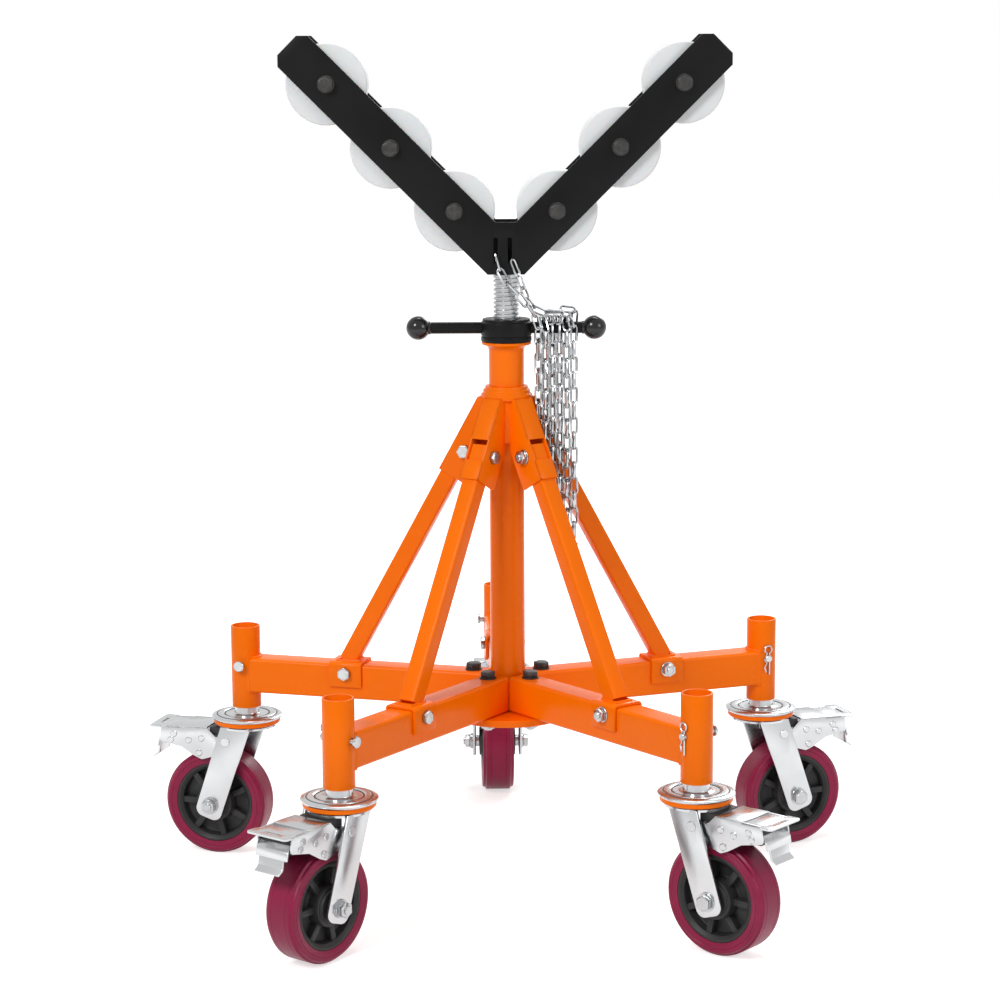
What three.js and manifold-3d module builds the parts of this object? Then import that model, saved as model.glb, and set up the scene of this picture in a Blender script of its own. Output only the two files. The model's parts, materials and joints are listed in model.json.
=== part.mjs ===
// Pipe stand on five casters: a bolted base, a screw jack and a V head with six rollers.
// Millimetres, +Z up. The origin is on the floor under the column's axis, and the head faces -Y.
import * as THREE from "three";
import { mergeVertices } from "three/addons/utils/BufferGeometryUtils.js";
import Module from "manifold-3d";

const wasm = await Module();
wasm.setup();

// Clearances
const SEAT_GAP = 0.3; // between faces that rest on each other
const HOLE_PLAY = 0.8; // a hole's diameter over its bolt's
const STEM_PLAY = 1.4; // a socket's bore over its stem

// Base: five legs on a round plate
const LEG_COUNT = 5;
const BASE_TURN = 2.3; // degrees from the head's face to the base's own front
const LEG_REACH = 393; // column axis to socket axis
const LEG_WIDTH = 40;
const LEG_HEIGHT = 50;
const LEG_WALL = 3;
const LEG_END_GAP = 0.8; // between neighbouring legs' inner corners
const BASE_DIAMETER = 170;
const BASE_THICKNESS = 10;
const LEG_BOLT_REACH = 50;

// Sockets for the casters' stems, at the legs' ends
const SOCKET_OD = 42.2;
const SOCKET_WALL = 2.8;
const SOCKET_BELOW_LEG = 23.7;
const SOCKET_ABOVE_LEG = 45;
const PIN_DIAMETER = 10;
const PIN_RISE = 40; // above the leg's underside
const PIN_HEAD_DIAMETER = 15.5;
const PIN_HEAD_THICKNESS = 4;
const PIN_STAND_OFF = 6; // from the socket to the pin's head, and to its tail end

// Column with a flared top flange
const COLUMN_OD = 48.3;
const COLUMN_WALL = 3.7;
const COLUMN_LENGTH = 516;
const FLANGE_DIAMETER = 68;
const FLANGE_THICKNESS = 4;
const FLANGE_FLARE = 9;

// Struts from the crown to saddles on the legs
const STRUT_SIDE = 25;
const STRUT_WALL = 2.5;
const STRUT_TOP_REACH = 66; // the strut's axis, this high over the leg's top
const STRUT_TOP_RISE = 307;
const STRUT_PAST_TOP = 20.5; // from that point to the strut's upper end
const SADDLE_REACH = 234;
const SADDLE_LENGTH = 48;
const SADDLE_WALL = 4;
const SADDLE_SIDE = 36;
const SADDLE_BOLT_DROP = 16; // under the saddle's top

// Crown: a stepped ring with a sleeve for each strut
const RING_RISE = 80; // the ring's underside over the struts' top point
const RING_HEIGHT = 18;
const RING_DIAMETER = 71;
const RING_STEP = 3; // each of the ring's two steps
const SLEEVE_WALL = 2.5;
const SLEEVE_BELOW = 31; // along the strut, from its top point down
const SLEEVE_DEPTH = 45;
const WINDOW_FROM = -3;
const WINDOW_TO = 27;
const CROSS_BOLT_ALONG = 9.6;
const CROSS_BOLT_INSET = 5;
const RIB_WIDTH = 13;
const RIB_THICKNESS = 6.5;
const RIB_LENGTH = 62;

// Casters
const CASTER_HEIGHT = 209.3; // floor to the top of the disc
const STEM_SHOW = 10; // stem between the disc and the socket
const STEM_BELOW_RIM = 20; // the stem's end under the socket's rim
const DISC_DIAMETER = 102;
const DISC_THICKNESS = 7;
const SEAL_DIAMETER = 96;
const SEAL_THICKNESS = 7;
const KINGPIN_DIAMETER = 16;
const KINGPIN_HEAD_DIAMETER = 24;
const KINGPIN_HEAD_THICKNESS = 4;
const FORK_TOP_DIAMETER = 84;
const FORK_TOP_THICKNESS = 6;
const FORK_WIDTH = 77;
const FORK_WALL = 4.5;
const FORK_END_RADIUS = 20;
const FORK_TOP_FROM = -18; // the fork's side plates at their top, along the trail
const FORK_TOP_TO = 27;
const TRAIL = 45;
const CASTER_TURNS = [-4.3, 11.7, 0, 0, 0]; // degrees each caster is turned from its leg
const WHEEL_DIAMETER = 152;
const TREAD_WIDTH = 38;
const TYRE_WIDTH = 48;
const SHOULDER_STEP = 3;
const HUB_DIAMETER = 116;
const HUB_RIM = 8;
const HUB_WIDTH = 44;
const HUB_WEB = 14;
const HUB_BOSS_DIAMETER = 54;
const HUB_BOSS_WIDTH = 56;
const SPOKE_COUNT = 7;
const SPOKE_WIDTH = 7;
const SPOKE_HEIGHT = 34;
const AXLE_SPACER_DIAMETER = 18;

// Brake pedals, each on a pin across its fork
const PEDAL_TOP = 190; // over the floor
const PEDAL_SHEET = 2.5;
const PEDAL_WIDTH = 60;
const PEDAL_WING_WIDTH = 68;
const PEDAL_WING_LENGTH = 22;
const PEDAL_FROM = 46; // the top plate's ends, from the swivel axis
const PEDAL_TO = 140;
const PEDAL_PIN_DIAMETER = 8;
const PEDAL_PIN_REACH = 20;
const PEDAL_PIN_HEIGHT = 172;
const SHOE_FROM = 44;
const SHOE_TO = 60;
const SHOE_HEIGHT = 158.5;
const SHOE_THICKNESS = 5;
const PEDAL_LOBE_DROP = 17; // the side plates' lobe under the shoe
const PEDAL_SIDE_SLOPE = 12;
const PEDAL_SIDE_REACH = 32; // past the shoe, to the side plates' corner
const PEDAL_END_INSET = 18; // the side plates end this far short of the top plate
const PEDAL_END_DEPTH = 22;
const TONGUE_LENGTH = 36; // along the trail, back from the pedal's end
const TONGUE_BEND = 22; // the bend's place, back from the pedal's end
const TONGUE_BEND_DEPTH = 15;
const TONGUE_DEPTH = 49;
const TONGUE_SHEET = 4;

// Screw jack
const SCREW_DIAMETER = 35;
const SCREW_BELOW_NUT = 200;
const SCREW_SHOW = 63; // between the nut and the head
const NUT_DIAMETER = 69.5;
const NUT_HEIGHT = 31;
const NUT_CHAMFER = 2;
const BAR_DIAMETER = 16;
const BAR_RISE = 18.3; // over the nut's underside
const BALL_DIAMETER = 33;
const BALL_REACH = 121;

// V head
const PLATE_THICKNESS = 5;
const PLATE_GAP = 60;
const ARM_ANGLE = 45;
const ARM_WIDTH = 58;
const ARM_LENGTH = 413; // from where the arms' middle lines meet
const TIP_CHAMFER = 11;
const NOTCH_WIDTH = 28;
const FOOT_WIDTH = 50;
const WEB_WIDTH = 44;
const WEB_THICKNESS = 9;
const SLOT_WIDTH = 6;
const SLOT_LENGTH = 34;
const SLOT_SPACING = 19;
const SLOT_OFFSET = -4.3; // the pair's middle from the head's middle
const SLOT_RISE = 16; // the slots' foot over the plate's foot
const ROLLER_DIAMETER = 110;
const ROLLER_WIDTH = 50;
const ROLLER_BOSS_DIAMETER = 24;
const ROLLERS_PER_ARM = 3;
const ROLLER_FIRST = 98.6; // along the arm
const ROLLER_SPACING = 120.7;

// Hex bolts: shank, across flats, head, nut, thread past the nut
const M12 = { shank: 12, across: 19, head: 8, nut: 10, tail: 3 };
const M10 = { shank: 10, across: 17, head: 7, nut: 9, tail: 2.5 };

// Chain: a hank of loops hung over the handle's right bar, with both ends hooked in the head's slots
const CHAIN_DIAMETER = 8;
const CHAIN_LOOPS = 6;
const CHAIN_FIRST = 43.6; // the first loop's place along the bar
const CHAIN_PITCH = 9.8;
const CHAIN_DROP = 298; // of the outermost loop, under the bar
const CHAIN_DROP_STEP = 17; // each loop further in hangs less far down
const CHAIN_NECK = 110; // under the bar, where the loops have drawn in
const CHAIN_HALF_GAP = 5.5; // half the distance between a loop's two strands
const CHAIN_LIFT = 0.5; // between the chain and the bar
const CHAIN_FORWARD = 16.2; // the hank's middle before the bar's, held off by the crown
const CHAIN_STEPS = 6; // in each quarter of a loop
const CHAIN_SIDES = 5;
const LEAD_STEPS = 14;

// How finely round shapes are faceted
const ROUND_SIDES = 14;
const WHEEL_SIDES = 14;
const ROLLER_SIDES = 16;
const BOLT_SIDES = 6;
const ARC_STEPS = 4; // in a quarter turn of a plate's outline
const BALL_RINGS = 6;
const FLARE_STEPS = 4;
const WELD = 1e-4;

const FINISHES = {
  orange: { color: 0xff7a0a, roughness: 0.35, metalness: 0 },
  zinc: { color: 0xcdd2d4, roughness: 0.35, metalness: 0.9 },
  tyre: { color: 0x7a163c, roughness: 0.45, metalness: 0 },
  hub: { color: 0x343436, roughness: 0.55, metalness: 0 },
  black: { color: 0x1e1e1e, roughness: 0.5, metalness: 0.1 },
  roller: { color: 0xe4e7e9, roughness: 0.4, metalness: 0 },
  steel: { color: 0xb4b8bb, roughness: 0.4, metalness: 0.9 },
};

// Heights over the floor, and sizes that follow from the ones above
const axleHeight = WHEEL_DIAMETER / 2;
const socketBottom = CASTER_HEIGHT + STEM_SHOW;
const legBottom = socketBottom + SOCKET_BELOW_LEG;
const legTop = legBottom + LEG_HEIGHT;
const socketTop = legTop + SOCKET_ABOVE_LEG;
const pinHeight = legBottom + PIN_RISE;
const saddleUnder = legTop + SEAT_GAP;
const saddleTop = saddleUnder + SADDLE_WALL;
const saddleBoltHeight = saddleTop - SADDLE_BOLT_DROP;
const saddleInside = LEG_WIDTH / 2 + SEAT_GAP;
const saddleOutside = saddleInside + SADDLE_WALL;
const legInnerEnd = Math.max(LEG_WIDTH / 2 / Math.tan(Math.PI / LEG_COUNT), COLUMN_OD / 2) + LEG_END_GAP;
const columnTop = legBottom + COLUMN_LENGTH;
const strutTop = legTop + STRUT_TOP_RISE;
const strutLean = Math.atan2(SADDLE_REACH - STRUT_TOP_REACH, strutTop - saddleTop);
const strutLength = Math.hypot(SADDLE_REACH - STRUT_TOP_REACH, strutTop - saddleTop);
const crownBore = COLUMN_OD / 2 + SEAT_GAP;
const ringBottom = strutTop + RING_RISE;
const sleeveInside = STRUT_SIDE / 2 + SEAT_GAP;
const sleeveOutside = sleeveInside + SLEEVE_WALL;
const stemRadius = SOCKET_OD / 2 - SOCKET_WALL - STEM_PLAY / 2;
const discUnder = CASTER_HEIGHT - DISC_THICKNESS;
const sealUnder = discUnder - SEAL_THICKNESS;
const forkTop = sealUnder - SEAT_GAP;
const forkTopUnder = forkTop - FORK_TOP_THICKNESS;
const forkInside = FORK_WIDTH / 2 - FORK_WALL;
const nutBottom = columnTop + SEAT_GAP;
const nutTop = nutBottom + NUT_HEIGHT;
const barHeight = nutBottom + BAR_RISE;
const footHeight = nutTop + SCREW_SHOW;
const plateInside = PLATE_GAP / 2;
const plateOutside = plateInside + PLATE_THICKNESS;
const armAngle = THREE.MathUtils.degToRad(ARM_ANGLE);
const edgeDrop = ARM_WIDTH / 2 / Math.cos(armAngle); // from an arm's middle line straight down to its edge
const vertexHeight = footHeight + edgeDrop - (FOOT_WIDTH / 2) * Math.tan(armAngle);
const slotFoot = footHeight + SLOT_RISE;

// A closed geometry as a solid that can be joined and cut
function solid(geometry) {
  const bare = new THREE.BufferGeometry();
  bare.setAttribute("position", geometry.getAttribute("position"));
  bare.setIndex(geometry.index);
  const merged = mergeVertices(bare, WELD);
  const corners = merged.index.array;
  const triVerts = [];
  for (let i = 0; i < corners.length; i += 3) {
    const [a, b, c] = corners.slice(i, i + 3);
    if (a !== b && b !== c && c !== a) {
      triVerts.push(a, b, c);
    }
  }
  const vertProperties = merged.attributes.position.array;
  const mesh = new wasm.Mesh({ numProp: 3, vertProperties, triVerts: new Uint32Array(triVerts) });
  return new wasm.Manifold(mesh);
}

function geometryOf(body) {
  const mesh = body.getMesh();
  const geometry = new THREE.BufferGeometry();
  geometry.setAttribute("position", new THREE.BufferAttribute(mesh.vertProperties, 3));
  geometry.setIndex(new THREE.BufferAttribute(mesh.triVerts, 1));
  geometry.computeVertexNormals();
  return geometry;
}

function join(...shapes) {
  return geometryOf(shapes.map(solid).reduce((whole, piece) => whole.add(piece)));
}

function cut(shape, ...tools) {
  return geometryOf(tools.map(solid).reduce((whole, tool) => whole.subtract(tool), solid(shape)));
}

// A box between two corners
function block([x0, y0, z0], [x1, y1, z1]) {
  const box = new THREE.BoxGeometry(x1 - x0, y1 - y0, z1 - z0);
  return box.translate((x0 + x1) / 2, (y0 + y1) / 2, (z0 + z1) / 2);
}

// A round bar along Z
function rod(radius, z0, z1, sides = ROUND_SIDES) {
  const bar = new THREE.CylinderGeometry(radius, radius, z1 - z0, sides);
  bar.rotateX(Math.PI / 2);
  return bar.translate(0, 0, (z0 + z1) / 2);
}

// A round bar along Y, through the point (x, z)
function crossRod(radius, y0, y1, x, z, sides = BOLT_SIDES) {
  return rod(radius, y0, y1, sides)
    .rotateX(-Math.PI / 2)
    .translate(x, 0, z);
}

// The corner radius of a faceted bore whose flats lie at the radius
function around(radius, sides = ROUND_SIDES) {
  return radius / Math.cos(Math.PI / sides);
}

// A profile of [radius, height] points turned round the Z axis
function turned(profile, sides = ROUND_SIDES) {
  const points = profile.map(([radius, height]) => new THREE.Vector2(radius, height));
  return new THREE.LatheGeometry(points, sides).rotateX(Math.PI / 2);
}

// The same, round the Y axis, with a flat facet at the bottom that lies at the true radius
function turnedWheel(profile, sides) {
  const ring = profile.map(([radius, height]) => [around(radius, sides), height]);
  return turned([...ring, ring[0]], sides)
    .rotateZ(Math.PI / sides)
    .rotateX(-Math.PI / 2);
}

// An outline in X and Z as a plate from y0 to y1
function plate(shape, y0, y1) {
  const options = { depth: y1 - y0, bevelEnabled: false, curveSegments: ARC_STEPS };
  const sheet = new THREE.ExtrudeGeometry(shape, options);
  sheet.rotateX(Math.PI / 2);
  return sheet.translate(0, y1, 0);
}

function outline(points) {
  return new THREE.Shape(points.map(([x, z]) => new THREE.Vector2(x, z)));
}

// A hex bolt along Z with its head over z = 0 and its nut under z = -grip
function bolt(size, grip) {
  const hexRadius = size.across / Math.sqrt(3);
  return join(
    rod(hexRadius, 0, size.head, 6),
    rod(size.shank / 2, -grip - size.nut - size.tail, size.head / 2, BOLT_SIDES),
    rod(hexRadius, -grip - size.nut, -grip, 6),
  );
}

// A bolt along Y, with its head to +Y, through the point (x, z)
function crossBolt(size, y0, y1, x, z) {
  return bolt(size, y1 - y0)
    .rotateX(-Math.PI / 2)
    .translate(x, y1, z);
}

// A tube along a list of points, with flat ends
function sweep(points, radius, sides) {
  const positions = [];
  const index = [];
  const side = new THREE.Vector3(1, 0, 0);
  points.forEach((point, i) => {
    const before = points[Math.max(i - 1, 0)];
    const after = points[Math.min(i + 1, points.length - 1)];
    const along = after.clone().sub(before).normalize();
    side.addScaledVector(along, -side.dot(along)).normalize();
    const across = along.clone().cross(side);
    for (let k = 0; k < sides; k += 1) {
      const turn = (2 * Math.PI * k) / sides;
      const corner = point.clone();
      corner.addScaledVector(side, radius * Math.cos(turn));
      corner.addScaledVector(across, radius * Math.sin(turn));
      positions.push(corner.x, corner.y, corner.z);
    }
  });
  for (let i = 0; i + 1 < points.length; i += 1) {
    for (let k = 0; k < sides; k += 1) {
      const a = i * sides + k;
      const b = i * sides + ((k + 1) % sides);
      index.push(a, b, b + sides, a, b + sides, a + sides);
    }
  }
  const last = (points.length - 1) * sides;
  for (let k = 1; k + 1 < sides; k += 1) {
    index.push(0, k + 1, k, last, last + k, last + k + 1);
  }
  const geometry = new THREE.BufferGeometry();
  geometry.setAttribute("position", new THREE.Float32BufferAttribute(positions, 3));
  geometry.setIndex(index);
  return geometry;
}

const stand = new THREE.Group();

function part(name, geometry, finish, parent = stand) {
  const mesh = new THREE.Mesh(geometry, new THREE.MeshStandardMaterial(FINISHES[finish]));
  mesh.name = name;
  parent.add(mesh);
}

// A leg's own frame has +X outward from the column. Leg 1 is front left, and the count goes on to the right.
function legTurn(k) {
  const fromFront = BASE_TURN + (360 / LEG_COUNT) * (k - 0.5);
  return THREE.MathUtils.degToRad(fromFront - 90);
}

function forEachLeg(make) {
  return Array.from({ length: LEG_COUNT }, (_, k) => make(k).rotateZ(legTurn(k)));
}

// The point in X and Z that lies along and outward from the strut's top point
function onStrut(along, outward) {
  const x = STRUT_TOP_REACH + outward * Math.cos(strutLean) - along * Math.sin(strutLean);
  const z = strutTop + outward * Math.sin(strutLean) + along * Math.cos(strutLean);
  return [x, z];
}

function column() {
  const outer = COLUMN_OD / 2;
  const inner = outer - COLUMN_WALL;
  const flange = FLANGE_DIAMETER / 2;
  const flareTop = columnTop - FLANGE_THICKNESS;
  const profile = [[inner, legBottom], [outer, legBottom]];
  for (let i = 0; i <= FLARE_STEPS; i += 1) {
    const turn = (Math.PI / 2) * (i / FLARE_STEPS);
    const radius = outer + (flange - outer) * (1 - Math.cos(turn));
    profile.push([radius, flareTop - FLANGE_FLARE * (1 - Math.sin(turn))]);
  }
  profile.push([flange, columnTop], [inner, columnTop], [inner, legBottom]);
  return turned(profile);
}

function basePlate() {
  const top = legBottom - SEAT_GAP;
  const disc = rod(BASE_DIAMETER / 2, top - BASE_THICKNESS, top);
  const grip = LEG_HEIGHT + SEAT_GAP + BASE_THICKNESS; // the nuts sink in a little, to be one with the plate
  const bolts = forEachLeg(() => bolt(M12, grip).translate(LEG_BOLT_REACH, 0, legTop + SEAT_GAP));
  return join(disc, ...bolts);
}

function leg() {
  const half = LEG_WIDTH / 2;
  const inside = half - LEG_WALL;
  const socket = rod(SOCKET_OD / 2, socketBottom, socketTop).translate(LEG_REACH, 0, 0);
  const bore = rod(SOCKET_OD / 2 - SOCKET_WALL, socketBottom - 1, socketTop + 1).translate(LEG_REACH, 0, 0);
  const tube = cut(
    block([legInnerEnd, -half, legBottom], [LEG_REACH, half, legTop]),
    block([0, -inside, legBottom + LEG_WALL], [LEG_REACH, inside, legTop - LEG_WALL]),
    rod((M12.shank + HOLE_PLAY) / 2, 0, legTop + 1, BOLT_SIDES).translate(LEG_BOLT_REACH, 0, 0),
    crossRod((M10.shank + HOLE_PLAY) / 2, -LEG_WIDTH, LEG_WIDTH, SADDLE_REACH, saddleBoltHeight),
  );
  const pinEnd = SOCKET_OD / 2 + PIN_STAND_OFF;
  return join(
    cut(join(tube, socket), bore),
    crossRod(PIN_DIAMETER / 2, -pinEnd, pinEnd + 1, LEG_REACH, pinHeight),
    crossRod(PIN_HEAD_DIAMETER / 2, pinEnd, pinEnd + PIN_HEAD_THICKNESS, LEG_REACH, pinHeight),
  );
}

function strut() {
  const half = STRUT_SIDE / 2;
  const inside = half - STRUT_WALL;
  const past = STRUT_SIDE; // run on below the saddle's top, then trimmed flat
  const from = -strutLength - past;
  const lean = (shape) => shape.rotateY(-strutLean).translate(STRUT_TOP_REACH, 0, strutTop);
  const below = (height) => block([0, -LEG_REACH, 0], [LEG_REACH, LEG_REACH, height]);
  const holeRadius = around((M10.shank + HOLE_PLAY) / 2, BOLT_SIDES);
  const hole = crossRod(holeRadius, -STRUT_SIDE, STRUT_SIDE, -CROSS_BOLT_INSET, CROSS_BOLT_ALONG);
  const tube = lean(block([-half, -half, from], [half, half, STRUT_PAST_TOP]));
  const core = lean(block([-inside, -inside, from], [inside, inside, STRUT_PAST_TOP + 1]));
  const outer = cut(tube, below(saddleUnder + SADDLE_WALL / 2));
  const hollow = cut(core, below(saddleTop));
  const saddleSeat = saddleOutside - SEAT_GAP; // the bolt's head and nut sink in, to be one with the saddle
  const saddleFrom = SADDLE_REACH - SADDLE_LENGTH / 2;
  const saddleTo = SADDLE_REACH + SADDLE_LENGTH / 2;
  const saddle = cut(
    block([saddleFrom, -saddleOutside, saddleTop - SADDLE_SIDE], [saddleTo, saddleOutside, saddleTop]),
    block([0, -saddleInside, 0], [LEG_REACH, saddleInside, saddleUnder]),
  );
  return join(
    cut(outer, hollow, lean(hole)),
    saddle,
    crossBolt(M10, -saddleSeat, saddleSeat, SADDLE_REACH, saddleBoltHeight),
  );
}

// One sleeve of the crown: two side plates and an outer face with a window, open towards the column
function sleeve() {
  const foot = -SLEEVE_BELOW;
  const deep = sleeveOutside - SLEEVE_DEPTH;
  const roof = ringBottom + RING_STEP;
  const [innerX, innerZ] = onStrut(foot, deep);
  const columnFoot = innerZ + (innerX - crownBore) / Math.tan(strutLean);
  const faceAtRoof = onStrut((roof - onStrut(0, sleeveOutside)[1]) / Math.cos(strutLean), sleeveOutside);
  const sides = outline([
    onStrut(foot, sleeveOutside), faceAtRoof, [crownBore, roof], [crownBore, columnFoot], [innerX, innerZ],
  ]);
  const faceAtRing = onStrut((ringBottom - onStrut(0, sleeveInside)[1]) / Math.cos(strutLean), sleeveInside);
  const inside = outline([
    onStrut(foot - 1, sleeveInside), faceAtRing, [0, ringBottom], [0, 0], [innerX, 0],
  ]);
  const window = outline([
    onStrut(WINDOW_FROM, 0), onStrut(WINDOW_FROM, 2 * sleeveOutside),
    onStrut(WINDOW_TO, 2 * sleeveOutside), onStrut(WINDOW_TO, 0),
  ]);
  return cut(
    plate(sides, -sleeveOutside, sleeveOutside),
    plate(inside, -sleeveInside, sleeveInside),
    plate(window, -sleeveInside, sleeveInside),
  );
}

function crown() {
  const rim = RING_DIAMETER / 2;
  const step = RING_HEIGHT / 6;
  const ring = turned([
    [crownBore, ringBottom], [rim, ringBottom], [rim, ringBottom + 2 * step],
    [rim - RING_STEP, ringBottom + 3 * step], [rim - RING_STEP, ringBottom + 4 * step],
    [rim - 2 * RING_STEP, ringBottom + 5 * step], [rim - 2 * RING_STEP, ringBottom + RING_HEIGHT],
    [crownBore, ringBottom + RING_HEIGHT], [crownBore, ringBottom],
  ]);
  const sleeves = forEachLeg(sleeve);
  const [boltX, boltZ] = onStrut(CROSS_BOLT_ALONG, -CROSS_BOLT_INSET);
  const seat = sleeveOutside - SEAT_GAP; // heads and nuts sink in a little, to be one with the sleeve
  const bolts = forEachLeg(() => crossBolt(M10, -seat, seat, boltX, boltZ));
  const ribTop = ringBottom + RING_STEP;
  const ribs = forEachLeg(() => {
    const face = crownBore + RIB_THICKNESS;
    const rib = block([0, -RIB_WIDTH / 2, ribTop - RIB_LENGTH], [face, RIB_WIDTH / 2, ribTop]);
    return rib.rotateZ(Math.PI / LEG_COUNT);
  });
  const body = cut(join(ring, ...sleeves, ...ribs), rod(crownBore, 0, ringBottom + RING_HEIGHT + 1));
  return join(body, ...bolts);
}

function casterPlate() {
  const king = KINGPIN_DIAMETER / 2;
  const kingHead = KINGPIN_HEAD_DIAMETER / 2;
  const kingTop = forkTopUnder - SEAT_GAP;
  const kingBottom = kingTop - KINGPIN_HEAD_THICKNESS;
  const stemTop = socketTop - STEM_BELOW_RIM;
  const body = turned([
    [0, kingBottom], [kingHead, kingBottom], [kingHead, kingTop], [king, kingTop], [king, sealUnder],
    [SEAL_DIAMETER / 2, sealUnder], [SEAL_DIAMETER / 2, discUnder], [DISC_DIAMETER / 2, discUnder],
    [DISC_DIAMETER / 2, CASTER_HEIGHT], [stemRadius, CASTER_HEIGHT], [stemRadius, stemTop], [0, stemTop],
  ]);
  return cut(body, crossRod((PIN_DIAMETER + HOLE_PLAY) / 2, -SOCKET_OD, SOCKET_OD, 0, pinHeight));
}

function fork() {
  const middle = (FORK_TOP_FROM + FORK_TOP_TO) / 2;
  const square = Math.atan2(TRAIL - middle, forkTop - axleHeight); // the side plate's lean
  const side = new THREE.Shape();
  side.moveTo(FORK_TOP_FROM, forkTop);
  side.lineTo(FORK_TOP_TO, forkTop);
  side.absarc(TRAIL, axleHeight, FORK_END_RADIUS, square, square - Math.PI, true);
  const half = FORK_WIDTH / 2;
  const body = join(
    rod(FORK_TOP_DIAMETER / 2, forkTopUnder, forkTop),
    plate(side, forkInside, half),
    plate(side, -half, -forkInside),
    crossRod(PEDAL_PIN_DIAMETER / 2, 1 - half, half - 1, PEDAL_PIN_REACH, PEDAL_PIN_HEIGHT),
  );
  return cut(
    body,
    rod(around(KINGPIN_DIAMETER / 2 + SEAT_GAP), forkTopUnder - 1, forkTop + 1),
    crossRod((M12.shank + HOLE_PLAY) / 2, -FORK_WIDTH, FORK_WIDTH, TRAIL, axleHeight),
  );
}

function axle() {
  const half = FORK_WIDTH / 2 + SEAT_GAP;
  const shank = bolt(M12, 2 * half)
    .rotateX(Math.PI / 2)
    .translate(0, -half, 0);
  const spacerFrom = HUB_BOSS_WIDTH / 2 + SEAT_GAP;
  const spacerTo = forkInside - SEAT_GAP;
  const spacer = (y0, y1) => crossRod(AXLE_SPACER_DIAMETER / 2, y0, y1, 0, 0);
  return join(shank, spacer(spacerFrom, spacerTo), spacer(-spacerTo, -spacerFrom));
}

function tyre() {
  const tread = WHEEL_DIAMETER / 2;
  const bead = HUB_DIAMETER / 2 + SEAT_GAP;
  const shoulder = tread - SHOULDER_STEP;
  const half = TYRE_WIDTH / 2;
  const halfTread = TREAD_WIDTH / 2;
  const halfHub = HUB_WIDTH / 2;
  const upper = [[bead, halfHub], [(bead + shoulder) / 2, half], [shoulder, half], [tread, halfTread]];
  const lower = upper.map(([radius, y]) => [radius, -y]).reverse();
  return turnedWheel([...lower, ...upper].reverse(), WHEEL_SIDES);
}

function hub() {
  const bore = (M12.shank + HOLE_PLAY) / 2;
  const boss = HUB_BOSS_DIAMETER / 2;
  const rim = HUB_DIAMETER / 2;
  const rimInside = rim - HUB_RIM;
  const upper = [
    [bore, HUB_BOSS_WIDTH / 2], [boss, HUB_BOSS_WIDTH / 2], [boss, HUB_WEB / 2],
    [rimInside, HUB_WEB / 2], [rimInside, HUB_WIDTH / 2], [rim, HUB_WIDTH / 2],
  ];
  const lower = upper.map(([radius, y]) => [radius, -y]).reverse();
  const body = turnedWheel([...lower, ...upper].reverse(), WHEEL_SIDES);
  const spokes = Array.from({ length: SPOKE_COUNT }, (_, k) => {
    const halfHeight = SPOKE_HEIGHT / 2;
    const from = boss - HUB_RIM / 2;
    const to = rimInside + HUB_RIM / 2;
    const spoke = block([from, -halfHeight, -SPOKE_WIDTH / 2], [to, halfHeight, SPOKE_WIDTH / 2]);
    return spoke.rotateY((2 * Math.PI * k) / SPOKE_COUNT);
  });
  return join(body, ...spokes);
}

function brakePedal() {
  const half = PEDAL_WIDTH / 2;
  const inside = half - PEDAL_SHEET;
  const under = PEDAL_TOP - PEDAL_SHEET;
  const wing = PEDAL_WING_WIDTH / 2;
  const [pinX, pinZ] = [PEDAL_PIN_REACH, PEDAL_PIN_HEIGHT];
  const ear = PEDAL_PIN_DIAMETER;
  const endX = PEDAL_TO - PEDAL_END_INSET;
  const side = outline([
    [pinX - ear, pinZ - ear], [pinX - ear, pinZ + ear], [PEDAL_FROM, PEDAL_TOP], [endX, PEDAL_TOP],
    [endX + ear / 2, under - PEDAL_END_DEPTH], [SHOE_TO + PEDAL_SIDE_REACH, SHOE_HEIGHT],
    [SHOE_TO + PEDAL_SIDE_SLOPE, SHOE_HEIGHT - PEDAL_SIDE_SLOPE], [SHOE_TO, SHOE_HEIGHT - PEDAL_LOBE_DROP],
    [SHOE_FROM, SHOE_HEIGHT - PEDAL_SIDE_SLOPE],
  ]);
  const rootX = PEDAL_TO - TONGUE_LENGTH;
  const bendX = PEDAL_TO - TONGUE_BEND;
  const bendZ = under - TONGUE_BEND_DEPTH;
  const tongue = outline([
    [rootX, bendZ + 2 * TONGUE_SHEET], [bendX, bendZ], [PEDAL_TO, under - TONGUE_DEPTH],
    [PEDAL_TO - TONGUE_SHEET, under - TONGUE_DEPTH], [bendX - TONGUE_SHEET, bendZ - TONGUE_SHEET],
    [rootX, bendZ + TONGUE_SHEET],
  ]);
  const body = join(
    plate(side, inside, half),
    plate(side, -half, -inside),
    block([PEDAL_FROM, -half, under], [PEDAL_TO, half, PEDAL_TOP]),
    block([PEDAL_TO - PEDAL_WING_LENGTH, -wing, under], [PEDAL_TO, wing, PEDAL_TOP]),
    block([SHOE_FROM, -half, SHOE_HEIGHT], [SHOE_TO, half, SHOE_HEIGHT + SHOE_THICKNESS]),
    plate(tongue, -half, half),
  );
  return cut(body, crossRod((PEDAL_PIN_DIAMETER + HOLE_PLAY) / 2, -FORK_WIDTH, FORK_WIDTH, pinX, pinZ));
}

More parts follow.
